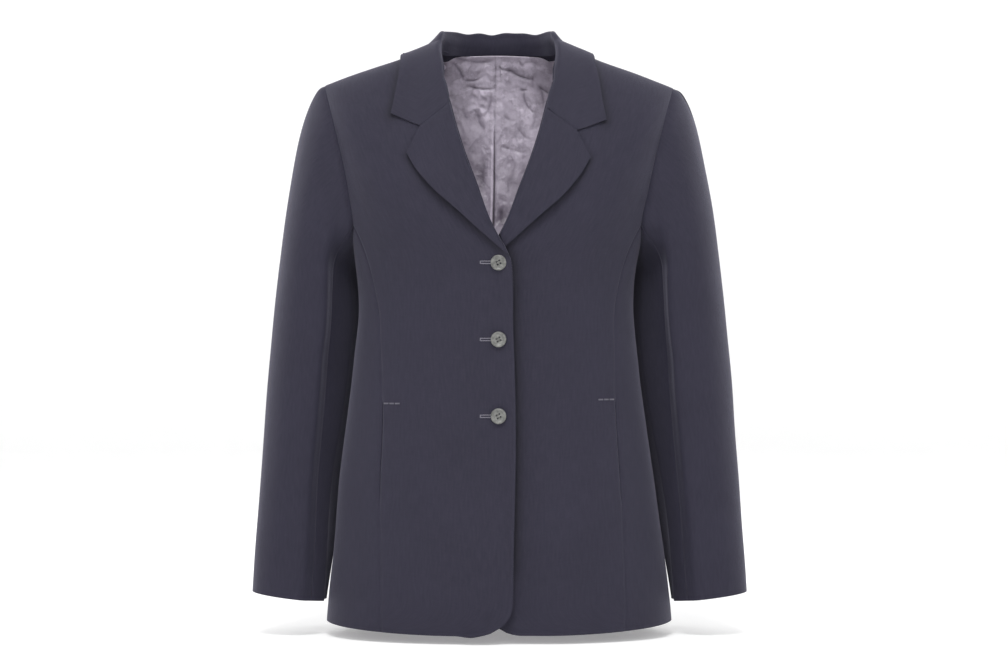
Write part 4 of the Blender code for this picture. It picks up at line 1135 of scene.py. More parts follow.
def front_rows(side):
    """Front panel from the round corner at the hem up the edge and roll line to the shoulder."""
    outer_z = HEM_SIDE + (SEAM_TOP - HEM_SIDE) * UP_SEAM
    outer_x = side_seam(side, outer_z, WORDS[side])
    outer_z[0] = hem(outer_x[0])
    x, z = rounded_corner(side)
    neck_x = float(front_edge(side, FRONT_EDGE[-1].z))
    neck_z = float(ridge(neck_x))
    up = SEAM_TOP + (neck_z - SEAM_TOP) * np.sin(np.pi / 2 * UP_ARM[1:])
    edge = front_edge(side, up)
    edge[-1] = neck_x
    arm_x, arm_z, _ = armhole(side, 360 - SIDE_SEAM_TURN * (1 - UP_ARM[1:]))
    inner = np.stack([np.concatenate([x, edge]), np.concatenate([z, up])], -1)
    outer = np.stack([np.concatenate([outer_x, arm_x]), np.concatenate([outer_z, arm_z])], -1)
    return rows_between(inner, outer, shares(*FRONT_STEPS), ridge)


def underlap(side, x):
    """How far the left front, and what lies on it, stands back near the middle."""
    if side < 0:
        return 0 * x
    return UNDERLAP * (1 - fade(x - MID, UNDERLAP_FROM, UNDERLAP_TO))


def pocket_opening(z):
    """1 along the open part of the seam, fading at its ends."""
    return fade(z, *MOUTH_TOP) * fade(z, *MOUTH_FOOT)


def near_line(x, z, line):
    """Distance in mm from places to a line of points across and up."""
    best = np.full(np.broadcast(x, z).shape, np.inf)
    for start, end in zip(line[:-1], line[1:]):
        run, rise = end - start
        along = ((x - start[0]) * run + (z - start[1]) * rise) / (run**2 + rise**2 + 1e-9)
        share = np.clip(along, 0, 1)
        best = np.minimum(best, np.hypot(x - start[0] - run * share, z - start[1] - rise * share))
    return best


def under_edges(side, x, z):
    """Shade painted on a front beside the edges that stand off it: lapel, collar and the other front."""
    neck = neck_lines()
    collar_edge = neck.edge[(neck.side == side) & (neck.at > COLLAR_RIDGE_ROW)][::3, [0, 2]]
    lapel_edge = lapel_rim(side)[::2] * np.array([side, 1]) + np.array([MID, 0])
    dark = LAPEL_SHADE.dark * bell(near_line(x, z, lapel_edge), LAPEL_SHADE.width)
    beside_collar = bell(near_line(x, z, collar_edge), COLLAR_SHADE.width)
    dark = np.maximum(dark, COLLAR_SHADE.dark * beside_collar)
    if side > 0:
        beside = bell(x - front_edge(-1, z), EDGE_SHADE.width)
        beside = beside * fade(z, *EDGE_SHADE_TOP) * fade(z, *EDGE_SHADE_FOOT)
        dark = np.maximum(dark, EDGE_SHADE.dark * beside)
    return dark


def front(side, word):
    """Front panel, its edge lifted off the other front and drawn back at the pocket's mouth."""
    x, z = front_rows(side)
    points = surface(x, z)
    out = normals(points, False)
    points = points + out * (body_folds(points) - underlap(side, x))[..., None]
    points = sew(points, out, high=SEAM_SINK, last=SEAM_SINK)
    from_edge = along_lengths(points, 1)[0]
    lift = EDGE_LIFT[word] * bell(from_edge, EDGE_LIFT_WIDTH)
    points = points + out * (lift * fade(z, EDGE_LIFT_FROM, EDGE_LIFT_FULL))[..., None]
    mouth = pocket_opening(z[:, -1])
    points[:, -1] += unit(points[:, -2] - points[:, -1]) * (MOUTH_FRONT * mouth)[:, None]
    points[:, -3:] -= out[:, -3:] * (FRONT_MOUTH_SINK * mouth[:, None])[..., None]
    # Painted shade on the front beside the lapel, the collar and the other front's edge.
    dark = under_edges(side, x, z)
    made = piece(f"front_{word}_cloth", lapped(points), out, WALL, SUITING, SATIN, painted_shading=dark)
    return hand_over(made, "cloth", f"front_{word}")


def neckline(x):
    """Top edge of a back: the neck seam, then the shoulder seam."""
    point = COLLAR[COLLAR_RIDGE_ROW]
    neck = point.seam_z * np.clip(np.abs(x) / point.seam_x, 0, 1) ** 2
    return np.where(np.abs(x) < point.seam_x, np.minimum(neck, ridge(x)), ridge(x))


def back(side, word):
    """Back panel from the centre seam to the side seam and armhole."""
    heights = HEM_SIDE + (SEAM_TOP - HEM_SIDE) * UP_SEAM
    up = SEAM_TOP * (1 - np.sin(np.pi / 2 * UP_ARM[1:]))
    z = np.concatenate([heights, up])
    arm_x, arm_z, _ = armhole(side, SIDE_SEAM_TURN * (1 - UP_ARM[1:]))
    inner = np.stack([table(BODY, "centre", z), z], -1)
    outer_x = np.concatenate([side_seam(side, heights, "back"), arm_x])
    outer = np.stack([outer_x, np.concatenate([heights, arm_z])], -1)
    x, z = rows_between(inner, outer, shares(*BACK_STEPS), neckline)
    points = surface(x, z, True)
    out = normals(points, True)
    points = points + out * body_folds(points)[..., None]
    points = sew(points, out, high=SEAM_SINK, first=SEAM_SINK, last=SEAM_SINK)
    made = piece(f"back_{word}_cloth", lapped(points), out, WALL, SUITING, SATIN)
    return hand_over(made, "cloth", f"back_{word}")


def side_panel(side, word):
    """Side panel from the front seam round under the arm to the back seam.

    Its rows are even round the body, and lean up to the armhole with the cube of their height.
    """
    heights = HEM_SIDE + (SEAM_TOP - HEM_SIDE) * UP_SEAM
    u = shares(*SIDE_STEPS)
    start = turn_of(side_seam(side, heights, word), heights) * side
    end = math.pi - turn_of(side_seam(side, heights, "back"), heights) * side
    turn = start[:, None] + (end - start)[:, None] * u[None, :]
    z = np.repeat(heights[:, None], len(u), axis=1)
    top_x, top_z, top_back = armhole(side, 360 - SIDE_SEAM_TURN - 2 * (180 - SIDE_SEAM_TURN) * u)
    top_turn = turn_of(top_x, top_z) * side
    top_turn = np.where(top_back, math.pi - top_turn, top_turn)
    edge_x = x_at(np.minimum(turn[:1], math.pi / 2) * side, z[:1])
    z[:1] = np.where(turn[:1] < math.pi / 2, hem(edge_x), HEM_SIDE)
    weight = UP_SEAM[:, None] ** 3
    z = z + weight * (top_z - heights[-1])[None, :]
    turn = turn + weight * (top_turn - turn[-1])[None, :]
    behind = turn > math.pi / 2
    share = signed_power(np.sin(turn), 2 / table(BODY, "power", z))
    x = table(BODY, "centre", z) + side * table(BODY, "half", z) * share
    points = surface(x, z, behind)
    out = normals(points, behind)
    hidden = fade(z, *UNDERARM)
    lift = body_folds(points) * (1 - UNDERARM_STILL * hidden) - UNDERARM_SINK * hidden
    points = points + out * lift[..., None]
    points = sew(points, out, high=UNDERARM_SEAM, first=SEAM_SINK, last=SEAM_SINK)
    mouth = pocket_opening(z[:, 0])
    points[:, 0] += unit(points[:, 1] - points[:, 0]) * (MOUTH_SIDE * mouth)[:, None]
    points[:, :3] -= out[:, :3] * (SIDE_MOUTH_SINK * mouth[:, None])[..., None]
    made = piece(f"side_{word}_cloth", lapped(points), out, WALL, SUITING, SATIN)
    return hand_over(made, "cloth", f"side_{word}")


# --- lapels --------------------------------------------------------------------------------------

def lift_from_roll(distance):
    """Height of a lapel or fall over what it lies on: most at its roll, then an exponential fall."""
    return LAPEL_REST + ROLL_LIFT * np.exp(-distance / ROLL_SPREAD)


def gorge(side):
    """The gorge seam: its end on the roll line and the notch, as (distance from MID, z)."""
    drop = LEFT_LAPEL_DROP if side > 0 else 0.0
    end = GORGE_END - drop
    return np.array([float(table(FRONT_EDGE, "edge", end)), end]), np.array([NOTCH.x, NOTCH.z - drop])


def roll_profile(count):
    """Half circle of the fold: shares of its radius along and above, from under to over."""
    angle = np.linspace(-math.pi / 2, math.pi / 2, count)
    return 1 - np.cos(angle), np.sin(angle)


def lapel_rim(side):
    """Outer edge of a lapel from the break up to the top, as (distance from MID, z)."""
    left = side > 0
    start = LEFT_LAPEL_START if left else 0.0
    at = start + (1 - start) * shares(*LAPEL_STEPS)
    drop = LEFT_BREAK_DROP + (LEFT_LAPEL_DROP - LEFT_BREAK_DROP) * at if left else 0 * at
    knots = np.linspace(0, 1, len(LAPEL_EDGE))
    z = smooth(at, knots, column(LAPEL_EDGE, "z")) - drop
    return np.stack([smooth(at, knots, column(LAPEL_EDGE, "x")), z], -1)


def lapel_plan(side, v):
    """Plan of a lapel as (distance from MID, z), its rows' shares across, and how many turn under.

    Each row is a line from the roll to the outer edge, bent at the top to the gorge and notch.
    """
    low = LEFT_LAPEL_FOOT if side > 0 else LAPEL_BREAK
    end, notch = gorge(side)
    rim = lapel_rim(side)
    z_roll = low + (end[1] - low) * v
    roll = np.stack([table(FRONT_EDGE, "edge", z_roll), z_roll], -1)
    length = np.linalg.norm(rim - roll, axis=-1)[:, None]
    radius = np.minimum(ROLL_RADIUS, ROLL_MOST * length)
    along, _ = roll_profile(ROLL_ROWS)
    inward = np.concatenate([LAPEL_TUCK, along[1:-1] * ROLL_RADIUS, [ROLL_RADIUS]]) / ROLL_RADIUS
    wrap = inward[None, :] * radius / length
    to_notch = shares(*LAPEL_INNER_STEPS)[1:] * NOTCH_SHARE
    past_notch = NOTCH_SHARE + shares(*LAPEL_OUTER_STEPS)[1:] * (1 - NOTCH_SHARE)
    q = np.concatenate([to_notch, past_notch])
    s0 = radius / length
    rest = np.where(q < NOTCH_SHARE, s0 + (NOTCH_SHARE - s0) * q / NOTCH_SHARE, q)
    share = np.concatenate([wrap, rest], axis=1)
    level = (share / NOTCH_SHARE)[..., None]
    beyond = ((share - NOTCH_SHARE) / (1 - NOTCH_SHARE))[..., None]
    top = np.where(level < 1, end + (notch - end) * level, notch + (rim[-1] - notch) * beyond)
    top = top - (end + (rim[-1] - end) * share[..., None])
    across = (rim - roll)[:, None] * share[..., None]
    plan = roll[:, None] + across + top * (v**TOP_BEND)[:, None, None]
    return plan, share, length, len(inward)


def lapel(side, word):
    """Lapel as one sheet: from under the front's edge round the roll line and out to its edge."""
    v = shares(*LAPEL_STEPS)
    plan, share, length, turns = lapel_plan(side, v)
    x, z = MID + side * plan[..., 0], plan[..., 1]
    points = surface(x, z)
    out = normals(points, False)
    belly = LAPEL_BELLY * np.sin(np.pi * np.clip(share, 0, 1)) * (1 - v[:, None]) ** 0.5
    over = lift_from_roll(share * length) + DOUBLE_WALL + belly * ease(length / LAPEL_BELLY_FULL)
    free = LAPEL_LIFT * (LAPEL_LIFT_ENDS + LAPEL_LIFT_MORE * np.sin(np.pi * v[:, None]) ** 2)
    over = over + free * ease(length / LAPEL_LIFT_FULL) * fade(share, LAPEL_LIFT_FROM, 1)
    crown = over[:, turns - 1:turns]
    under = -(WALL + WALL_GAP)
    middle = (crown + under) / 2
    above = roll_profile(ROLL_ROWS)[1][None, 1:-1]
    tucked = np.full((len(v), len(LAPEL_TUCK)), under)
    height = over.copy()
    height[:, :turns] = np.concatenate([tucked, middle + (crown - middle) * above, crown], axis=1)
    points = points + out * (height + body_folds(points) - underlap(side, x))[..., None]
    joined = share[-1] < NOTCH_SHARE
    sink = SEAM_SINK * bell((1 - v)[:, None] * GORGE_LENGTH, SEAM_WIDTH) * joined[None, :]
    points = points - out * sink[..., None]
    facing = out.copy()
    facing[:, :turns] = 0     # these turn under, so they don't say which way is out
    made = piece(
        f"lapel_{word}_cloth", lapped(points, FOLD_LAP), facing, LAPEL_WALL, SUITING, SUITING, FOLD_ROUND,
    )
    return hand_over(made, "cloth", f"lapel_{word}")


# --- collar --------------------------------------------------------------------------------------

def clear_of_body(points, lift):
    """Move points nearer the body than lift straight out to it, by the form's own slope."""
    moved = points.copy()
    for _ in range(CLEARING_ROUNDS):
        for back in (False, True):
            chosen = (moved[..., 1] >= 0) == back
            raw = slope_out(moved, back)
            slope = np.linalg.norm(raw, axis=-1)
            inside = moved[..., 1] ** 2 - depth_squared(moved[..., 0], moved[..., 2], back)
            short = np.where(chosen, np.clip(lift - inside / slope, 0, CLEARING_STEP), 0)
            moved = moved + raw / slope[..., None] * short[..., None]
    return moved


def on_body(x, z, ahead):
    """Points on the form, on its front where ahead and otherwise on its back."""
    return np.where(ahead[:, None], surface(x, z, False), surface(x, z, True))


# Lines round the neck: station, wearer's side, middle of the stand, fold, and outer edge.
Neck = namedtuple("Neck", "at side stand fold edge near_ridge")


def fold_waves(x):
    """Height of the fold's waves: long ones in a slow swell, with short ones on them."""
    long = np.sin(x / LONG_WAVE) * np.cos(x / SWELL - SWELL_START)
    return FOLD_WAVE * (long + SHORT_WAVE_SHARE * np.sin(x / SHORT_WAVE + 1))


def neck_lines():
    """The lines at every station from the right gorge round the back to the left one."""
    last = len(COLLAR) - 1.0
    even = np.linspace(0, last, NECK_STATIONS)[:-1]
    half = np.concatenate([even, last - np.array(LAST_STATIONS)])
    at = np.concatenate([half[::-1], half[1:]])
    side = np.concatenate([-np.ones(len(half)), np.ones(len(half) - 1)])
    c = {name: smooth(at, np.arange(last + 1), column(COLLAR, name)) for name in Collar._fields}
    drop = np.where(side > 0, LEFT_LAPEL_DROP, 0.0) * fade(at, LAID_FROM, last)
    ahead = at > COLLAR_RIDGE_ROW
    end_x = np.array([gorge(s)[0][0] for s in side])
    fold_x = c["fold_x"] + (end_x - c["fold_x"]) * np.clip(at - last + 1, 0, 1)
    near_ridge = np.clip(1 - np.abs(at - COLLAR_RIDGE_ROW) / RIDGE_REACH, 0, 1)
    inward = np.where(side > 0, LEFT_COLLAR_IN, 0) * near_ridge
    fold = np.stack([MID + side * (fold_x - inward), c["fold_y"], c["fold_z"] - drop], -1)
    fold[:, 2] += fold_waves(fold[:, 0]) * (1 - fade(at, FOLD_WAVE_END, LAID_FROM))
    seam_z = c["seam_z"] - drop
    at_edge = np.minimum(c["seam_x"], table(FRONT_EDGE, "edge", seam_z))
    seam = on_body(MID + side * np.where(ahead, at_edge, c["seam_x"]), seam_z, ahead)
    edge_z = c["edge_z"] - drop - SHOULDER_TILT * side * c["edge_x"] + SHOULDER_SLOPE * inward
    edge = on_body(MID + side * (c["edge_x"] - inward), edge_z, ahead)
    stand = seam * np.array([STAND_SHARE, STAND_SHARE, 1])
    return Neck(at, side, stand, fold, edge, near_ridge)


def fall_rows(neck, shares_down):
    """Inner face of the fall, a row at each share from the fold line to the outer edge."""
    fold, edge = neck.fold, neck.edge
    last = len(COLLAR) - 1
    backness = 1 - fade(neck.at, FALL_EASED_FROM, FALL_EASED)
    on_front = ease((neck.at - LAID_FROM) / LAID_WITHIN)
    toward_gorge = np.clip(1 - (last - neck.at) / GORGE_STATIONS, 0, 1) ** 2
    notch = np.array([[MID + s * gorge(s)[1][0], gorge(s)[1][1]] for s in neck.side])
    ends = np.where(neck.side > 0, -1, 0)
    middle = (fold[ends] + edge[ends])[:, [0, 2]] / 2
    bend = (notch - middle) * toward_gorge[:, None]
    grid = []
    for w in shares_down:
        flat = (w + backness * ((1 - (1 - w) ** FALL_OUT) - w))[:, None]
        down = w + backness * (w**FALL_DOWN - w)
        row = fold + (edge - fold) * flat
        row[:, 2] = fold[:, 2] + (edge[:, 2] - fold[:, 2]) * down
        row[:, 2] -= COLLAR_SAG * 4 * w * (1 - w) * neck.near_ridge
        row[:, [0, 2]] += bend * (1 - abs(2 * w - 1))
        distance = np.hypot(row[:, 0] - fold[:, 0], row[:, 2] - fold[:, 2])
        lift = lift_from_roll(distance) + COLLAR_BACK_LIFT * (1 - on_front)
        lift += COLLAR_RIDGE_LIFT * neck.near_ridge
        free = clear_of_body(row, lift)
        flush = surface(row[:, 0], row[:, 2])
        laid = flush + normals(flush, False) * lift[:, None]
        grid.append(free + (laid - free) * on_front[:, None])
    return np.array(grid), on_front


def turned_away(raw, grid, middle):
    """Flip a whole grid of directions if it points at the middle rather than away from it."""
    return raw if ((grid - middle) * raw).sum(-1).mean() > 0 else -raw


def fall_face(neck):
    """Outer face of the collar's fall from the fold down, and its directions out."""
    down = FALL_TOP + (1 - FALL_TOP) * shares(*FALL_STEPS, CLOSE_STEPS[:3])
    inner, on_front = fall_rows(neck, down)
    out = turned_away(grid_normals(inner), inner, COLLAR_CENTRE)
    out = unit(out + (normals(inner, False) - out) * on_front[None, :, None])
    rim = along_lengths(inner, 0)[1] - along_lengths(inner, 0)[0]
    settle = EDGE_SETTLE * (1 - EDGE_SETTLE_LESS * neck.near_ridge)[None] * bell(rim, EDGE_SETTLE_WIDTH)
    settle = settle + ripple(inner, *FALL_RIPPLE) * fade(rim, 0, FALL_RIPPLE_FROM)
    return inner + out * (DOUBLE_WALL - settle)[..., None], out


def bezier(t, start, first, second, end):
    """Cubic Bezier curve at t."""
    return (
        (1 - t) ** 3 * start + 3 * t * (1 - t) ** 2 * first + 3 * t * t * (1 - t) * second + t**3 * end
    )


def collar():
    """Collar as one sheet: up its fall, over the fold, and down the stand's inner face.

    The fold is a cubic Bezier between the fall and the stand. At the gorge the part behind the
    fold turns in under the front's edge, as the lapel does.
    """
    neck = neck_lines()
    stand, fold = neck.stand, neck.fold
    fall, out = fall_face(neck)
    rise = fold - stand
    up = rise / np.maximum(np.linalg.norm(rise, axis=-1, keepdims=True), 1e-6)
    two = np.array([stand, fold])
    neckward = -turned_away(grid_normals(two), two, STAND_CENTRE)[0]
    start_way = unit(fall[0] - fall[2])
    tucked = ease((neck.at - TUCK_FROM) / TUCK_WITHIN)[:, None]
    face = neckward * STAND_FACE
    roll = surface(fold[:, 0], fold[:, 2])
    under = roll - normals(roll, False) * (WALL + WALL_GAP)
    high = stand + rise * STAND_HIGH + face
    high = high + (under - start_way * ROLL_RADIUS - high) * tucked
    end_way = unit(up + (start_way - up) * tucked)
    reach = np.linalg.norm(high - fall[0], axis=-1, keepdims=True) * ARC_REACH
    t = np.linspace(0, 1, ARC_ROWS)[1:-1, None, None]
    arc = bezier(t, fall[0], fall[0] + start_way * reach, high + end_way * reach, high)
    low = stand + rise * STAND_LOW + face
    low = low + (under - start_way * TUCK_MIDDLE - low) * tucked
    aside = np.minimum(np.abs(stand[:, :1] - MID) / NECK_HALF, 1) ** 2
    mid_back = (1 - aside) * (neck.at[:, None] < BACK_STATIONS)
    foot = stand + rise * (FOOT_RISE * mid_back - FOOT_DROP) + neckward * (FOOT_IN - FOOT_OUT * mid_back)
    foot[:, 2] -= FOOT_LOWER - mid_back[:, 0]
    foot = foot + (under - start_way * TUCK_END - foot) * tucked
    s = np.linspace(0, 1, BAND_ROWS)[:, None, None]
    band = high + (low - high) * s
    band = band + neckward * (BAND_BELLY * np.sin(np.pi * s) * (1 - tucked))
    sheet = np.concatenate([fall[::-1], arc, band, foot[None]])
    facing = np.zeros_like(sheet)
    facing[: len(fall)] = out[::-1]
    sheet = lapped(seam_at_gorge(sheet, facing, len(fall)), FOLD_LAP)
    made = piece("collar_cloth", sheet, facing, COLLAR_WALL, SUITING, SUITING, FOLD_ROUND)
    return hand_over(made, "cloth", "collar")


def seam_at_gorge(sheet, facing, rows):
    """Sink both ends of the fall into the gorge seams, but not past the notch, where they are free."""
    run, whole = along_lengths(sheet, 1)
    depth = SEAM_SINK * (bell(run, SEAM_WIDTH) + bell(whole - run, SEAM_WIDTH))
    joined = np.zeros(len(sheet))
    joined[:rows] = ease((np.arange(rows) - rows * FREE_ROWS) / 3)
    return sheet - facing * (depth * joined[:, None])[..., None]


def collar_stand():
    """Outer layer of the stand, hidden between the fall and the neck."""
    neck = neck_lines()
    kept = neck.at <= STAND_END
    foot, head = neck.stand[kept], neck.fold[kept]
    sheet = np.array([foot + (head - foot) * w for w in np.linspace(*STAND_ROWS)])
    out = turned_away(grid_normals(sheet), sheet, STAND_CENTRE)
    made = piece("collar_stand_cloth", sheet + out * STAND_OUT, out, STAND_WALL, SUITING, SUITING, 0)
    return hand_over(made, "cloth", "collar_stand")


# --- sleeves -------------------------------------------------------------------------------------

def body_side(y, z):
    """Distance from the body's centre to its side at this depth."""
    power = table(BODY, "power", z)
    depth = np.where(y < 0, table(BODY, "front", z), table(BODY, "back", z))
    share = np.clip(np.abs(y) / depth, 0, 0.999)
    return table(BODY, "half", z) * (1 - share**power) ** (1 / power)


def sleeve_ring(side, z, degrees):
    """Rings of the sleeve at heights z: flat where they meet the body and rounded off before it."""
    angle = np.radians(degrees)
    centre = table(BODY, "centre", z)
    outer = table(SLEEVE, "outer", z) + side * SLEEVE_MID
    inner = side * centre + table(BODY, "half", z) + ARM_CLEARANCE - ARM_PRESS
    middle = (outer + inner) / 2
    half = (outer - inner) / 2
    turned = degrees % 360
    inner_front = np.where((turned > 180) & (turned < 270), np.sin(2 * angle) ** 2, 0)
    rounding = table(ARM_ROUNDS, WORDS[side], z)
    power = SLEEVE_SQUARE + rounding * inner_front
    x = middle + half * signed_power(np.cos(angle), power)
    y = table(SLEEVE, "depth", z) * signed_power(np.sin(angle), power) + table(SLEEVE, "middle", z)
    x = np.maximum(x, side * centre + body_side(y, z) + ARM_CLEARANCE)
    facing = (turned > ARM_GAP_START) * (1 - fade(turned, *ARM_GAP_FADE))
    x = x + ARM_GAP * rounding * facing * fade(y, ARM_CONTACT, ARM_GAP_FULL)
    slant = CUFF_SLANT * fade(z, CUFF_SLANT_FROM, SLEEVE[0].z)
    return np.stack([side * x, y, z + slant * (x - middle) / half], -1)


def armhole_point(side, degrees):
    """Points round the armhole and the directions out of the form there."""
    x, z, behind = armhole(side, degrees)
    point = surface(x, z, behind)
    return point, normals(point, behind)


def sleeve_grid(side, degrees):
    """Sleeve at these degrees round it: a Bezier from the armhole to the first ring, then rings."""
    angle = np.radians(degrees)
    point, out = armhole_point(side, degrees)
    along = armhole_point(side, degrees + CAP_STEP)[0] - armhole_point(side, degrees - CAP_STEP)[0]
    away = unit(np.cross(out, along))
    away = away * np.sign((away[:, 0] * side).sum())
    start = point - away * HEAD_UNDER - out * HEAD_SINK
    top_z, cuff_z = SLEEVE[-1].z, SLEEVE[0].z
    ring = sleeve_ring(side, np.full((1, 1), top_z), degrees[None, :])[0]
    reach = np.linalg.norm(ring - start, axis=-1, keepdims=True)
    lower = (1 - np.cos(angle)) / 2
    outward = np.full(len(angle), side * CAP_OUT)
    leave = np.stack([outward, CAP_SPREAD * np.sin(angle), -CAP_DOWN * lower], -1)
    fullness = -side * CAP_FULLNESS * np.cos(angle).clip(0)
    arrive = np.stack([fullness, 0 * angle, CAP_DROP - CAP_DROP_UNDERARM * lower], -1)
    t = closer_first(*CAP_STEPS)[:-1, None, None]
    cap = bezier(t, start, start + leave * reach, ring + arrive * reach, ring)
    z = top_z + (cuff_z - top_z) * closer_last(*ARM_STEPS)
    arm = sleeve_ring(side, z[:, None], degrees[None, :])
    grid = np.concatenate([cap, arm])
    x, y = ARM_AXIS
    middle = np.stack([np.full(len(grid), side * x), np.full(len(grid), y), grid[..., 2].mean(1)], -1)
    return grid, turned_away(grid_normals(grid), grid, middle[:, None])


def sleeve_folds(points, degrees, side):
    """Creases of a sleeve, a little lower on the left arm."""
    z = points[..., 2] * (1 if side < 0 else LEFT_CREASE_SHIFT)
    d = (degrees % 360)[None, :] + 0 * z
    length, amount, seed = SLEEVE_RIPPLE
    folds = creased(d, z, SLEEVE_CREASES) + creased(d - 360, z, SLEEVE_CREASES)
    return folds + creased(d + 360, z, SLEEVE_CREASES) + ripple(points, length, amount, seed + side)


def sleeve(side, word):
    """Top and under sleeve. The creases are less beside the body, and shade is painted on the cloth there.
    """
    made = []
    for name, low, high, count in (
        ("top_sleeve", FRONT_SLEEVE_SEAM, 360 + BACK_SLEEVE_SEAM, TOP_COLUMNS),
        ("under_sleeve", BACK_SLEEVE_SEAM, FRONT_SLEEVE_SEAM, UNDER_COLUMNS),
    ):
        degrees = low + (high - low) * shares((high - low) * SLEEVE_DEGREE, count)
        grid, out = sleeve_grid(side, degrees)
        z = grid[..., 2]
        still = ARM_STILL * bell((degrees % 360) - 180, ARM_STILL_WIDTH)[None, :] * fade(z, *ARM_STILL_FADE)
        head = HEAD_PUFF * bell(along_lengths(grid, 0)[0] - HEAD_PUFF_AT, HEAD_PUFF_WIDTH)
        lift = sleeve_folds(grid, degrees, side) * (1 - still) + head
        points = grid + out * lift[..., None]
        points = lapped(sew(points, out, first=SEAM_SINK, last=SEAM_SINK))
        # Painted shade on the inner front of the sleeve, in the gap beside the body.
        deep = np.clip(table(ARM_ROUNDS, word, z) / ARM_SHADE_FULL, 0, 1)
        around = fade(degrees, *ARM_SHADE_IN) * (1 - fade(degrees, *ARM_SHADE_OUT))
        dark = ARM_SHADE * deep * around[None]
        half = piece(f"{name}_{word}_cloth", points, out, WALL, SUITING, SATIN, painted_shading=dark)
        made.append(hand_over(half, "cloth", f"{name}_{word}"))
    return made


# --- lining, pockets, buttons and stitches -------------------------------------------------------

def crumples(points, side):
    """Facets of crumpled satin: seeded waves folded over at their crests into sharp ridges."""
    length, amount, seed = CRUMPLE_PATCHES
    total = np.zeros(points.shape[:-1])
    for waves in CRUMPLES:
        wave = ripple(points * CRUMPLE_STRETCH, waves.length, 1.0, waves.seed + side)
        strong = ease(ripple(points, length, amount, waves.seed + seed) + 0.5)
        patches = CRUMPLE_LEAST + (1 - CRUMPLE_LEAST) * strong
        total += waves.amount * (CRUMPLE_MIDDLE - np.abs(wave)) * patches
    return total


def lining_columns(side, z):
    """x of the lining's columns at heights z: even steps beside its seam, then even angles."""
    count = len(LINING_STEPS)
    start = table(BODY, "centre", z) + LINING_SEAM
    first = side * turn_of(start[..., count:] + side * LINING_STEPS[-1], z[..., count:])
    further = np.linspace(0, 1, LINING_FAR + 1)[1:]
    rest = first + (math.radians(LINING_SIDE) - first) * further
    near = start[..., :count] + side * LINING_STEPS
    return np.concatenate([near, x_at(side * rest, z[..., count:])], -1)


def lining_top(side):
    """Height of the lining's upper edge at its columns, and how near to the centre back they are."""
    top = np.zeros((1, len(LINING_STEPS) + LINING_FAR))
    for _ in range(ROUNDS):
        x = lining_columns(side, top)
        aside = np.minimum(np.abs(x - MID) / NECK_HALF, 1) ** 2
        dip = LINING_DIP * bell(np.abs(x - MID) - LINING_DIP_AT, LINING_DIP_WIDTH)
        top = neckline(x) - LINING_TOP - LINING_ASIDE * aside - dip + LINING_RISE * (1 - aside)
    return top, 1 - aside


def lining(side, word):
    """Back lining of one half, creased where it shows and with a pleat down the centre back.

    Shade is painted into its colour in creases, along the seam, low in the neck and in a patch, with
    painted light on the fold of the pleat and near the top.
    """
    shown = np.linspace(0, LINING_SHOWN, SHOWN_ROWS)
    hidden = np.linspace(LINING_SHOWN, 1, HIDDEN_ROWS + 1)[1:]
    down = np.concatenate([shown, hidden])[::-1, None]
    top, mid_back = lining_top(side)
    z = top + (LINING_HEM - top) * down
    x = lining_columns(side, z)
    points = surface(x, z, True)
    out = normals(points, True)
    below = top - z
    free = fade(below, *LINING_FREE)
    from_seam = np.abs(x - table(BODY, "centre", z) - LINING_SEAM)
    creases = creased(x, z, LINING_CREASES, CREASE_SHARP)
    crumpled = CRUMPLED_LEAST + (1 - CRUMPLED_LEAST) * fade(z, *CRUMPLED)
    pleat = fade(z, *PLEAT_FADE) * (side < 0)
    line = np.exp(-from_seam / LINE_WIDTH) * (LINE_LEAST + (1 - LINE_LEAST) * fade(z, *LINE_FADE))
    folds = creases + crumples(points, side) * crumpled
    folds = folds + pleat * PLEAT * bell(from_seam - PLEAT_AT, PLEAT_WIDTH) - LINE_SINK * line * free
    depth = LINING_UNDER + LAP_FORWARD * mid_back
    depth = depth + (WALL + LINING_DEPTH - LINING_NEARER) * fade(below, 0, LINING_FALL)
    points = points - out * (depth + folds * free)[..., None]
    # Painted shade in the creases, along the centre seam, low in the neck and in a patch; a painted
    # highlight on the pleat's fold and painted light near the top.
    shine = pleat * PLEAT_SHINE * bell(from_seam - PLEAT_SHINE_AT, PLEAT_SHINE_WIDTH)
    painted_shading = np.clip(-CREASE_SHADE * creases, 0, 1) + line - shine
    painted_shading = painted_shading + LOW_SHADE * fade(z, *LOW_SHADE_FADE)
    patch = bell(x - PATCH_AT.x, PATCH_WIDTH) * bell(z - PATCH_AT.z, PATCH_HEIGHT)
    painted_shading = painted_shading + PATCH_SHADE * patch - PALE * bell(z - PALE_AT, PALE_HEIGHT)
    made = piece(f"lining_{word}_satin", points, -out, LINING_WALL, SATIN, SATIN, 0, painted_shading)
    return hand_over(made, "lining", f"lining_{word}")


def pocket(side, word):
    """Strip of cloth behind the opening in the side seam."""
    rows, columns = POCKET_GRID
    z = np.linspace(POCKET_FOOT, POCKET_TOP, rows)[:, None] + np.zeros((1, columns))
    share = table(SIDE_SEAM, word, z) + POCKET_REACH * np.linspace(-1, 1, columns)[None, :]
    points = surface(table(BODY, "centre", z) + side * share * table(BODY, "half", z), z)
    out = normals(points, False)
    folds = np.minimum(body_folds(points), POCKET_FOLD) + ripple(points, *POCKET_RIPPLE)
    points = points + out * (folds - WALL - POCKET_DEPTH - POCKET_ROOM)[..., None]
    made = piece(f"pocket_{word}_cloth", points, out, POCKET_WALL, SUITING, SUITING, 0)
    return hand_over(made, "cloth", f"pocket_{word}")


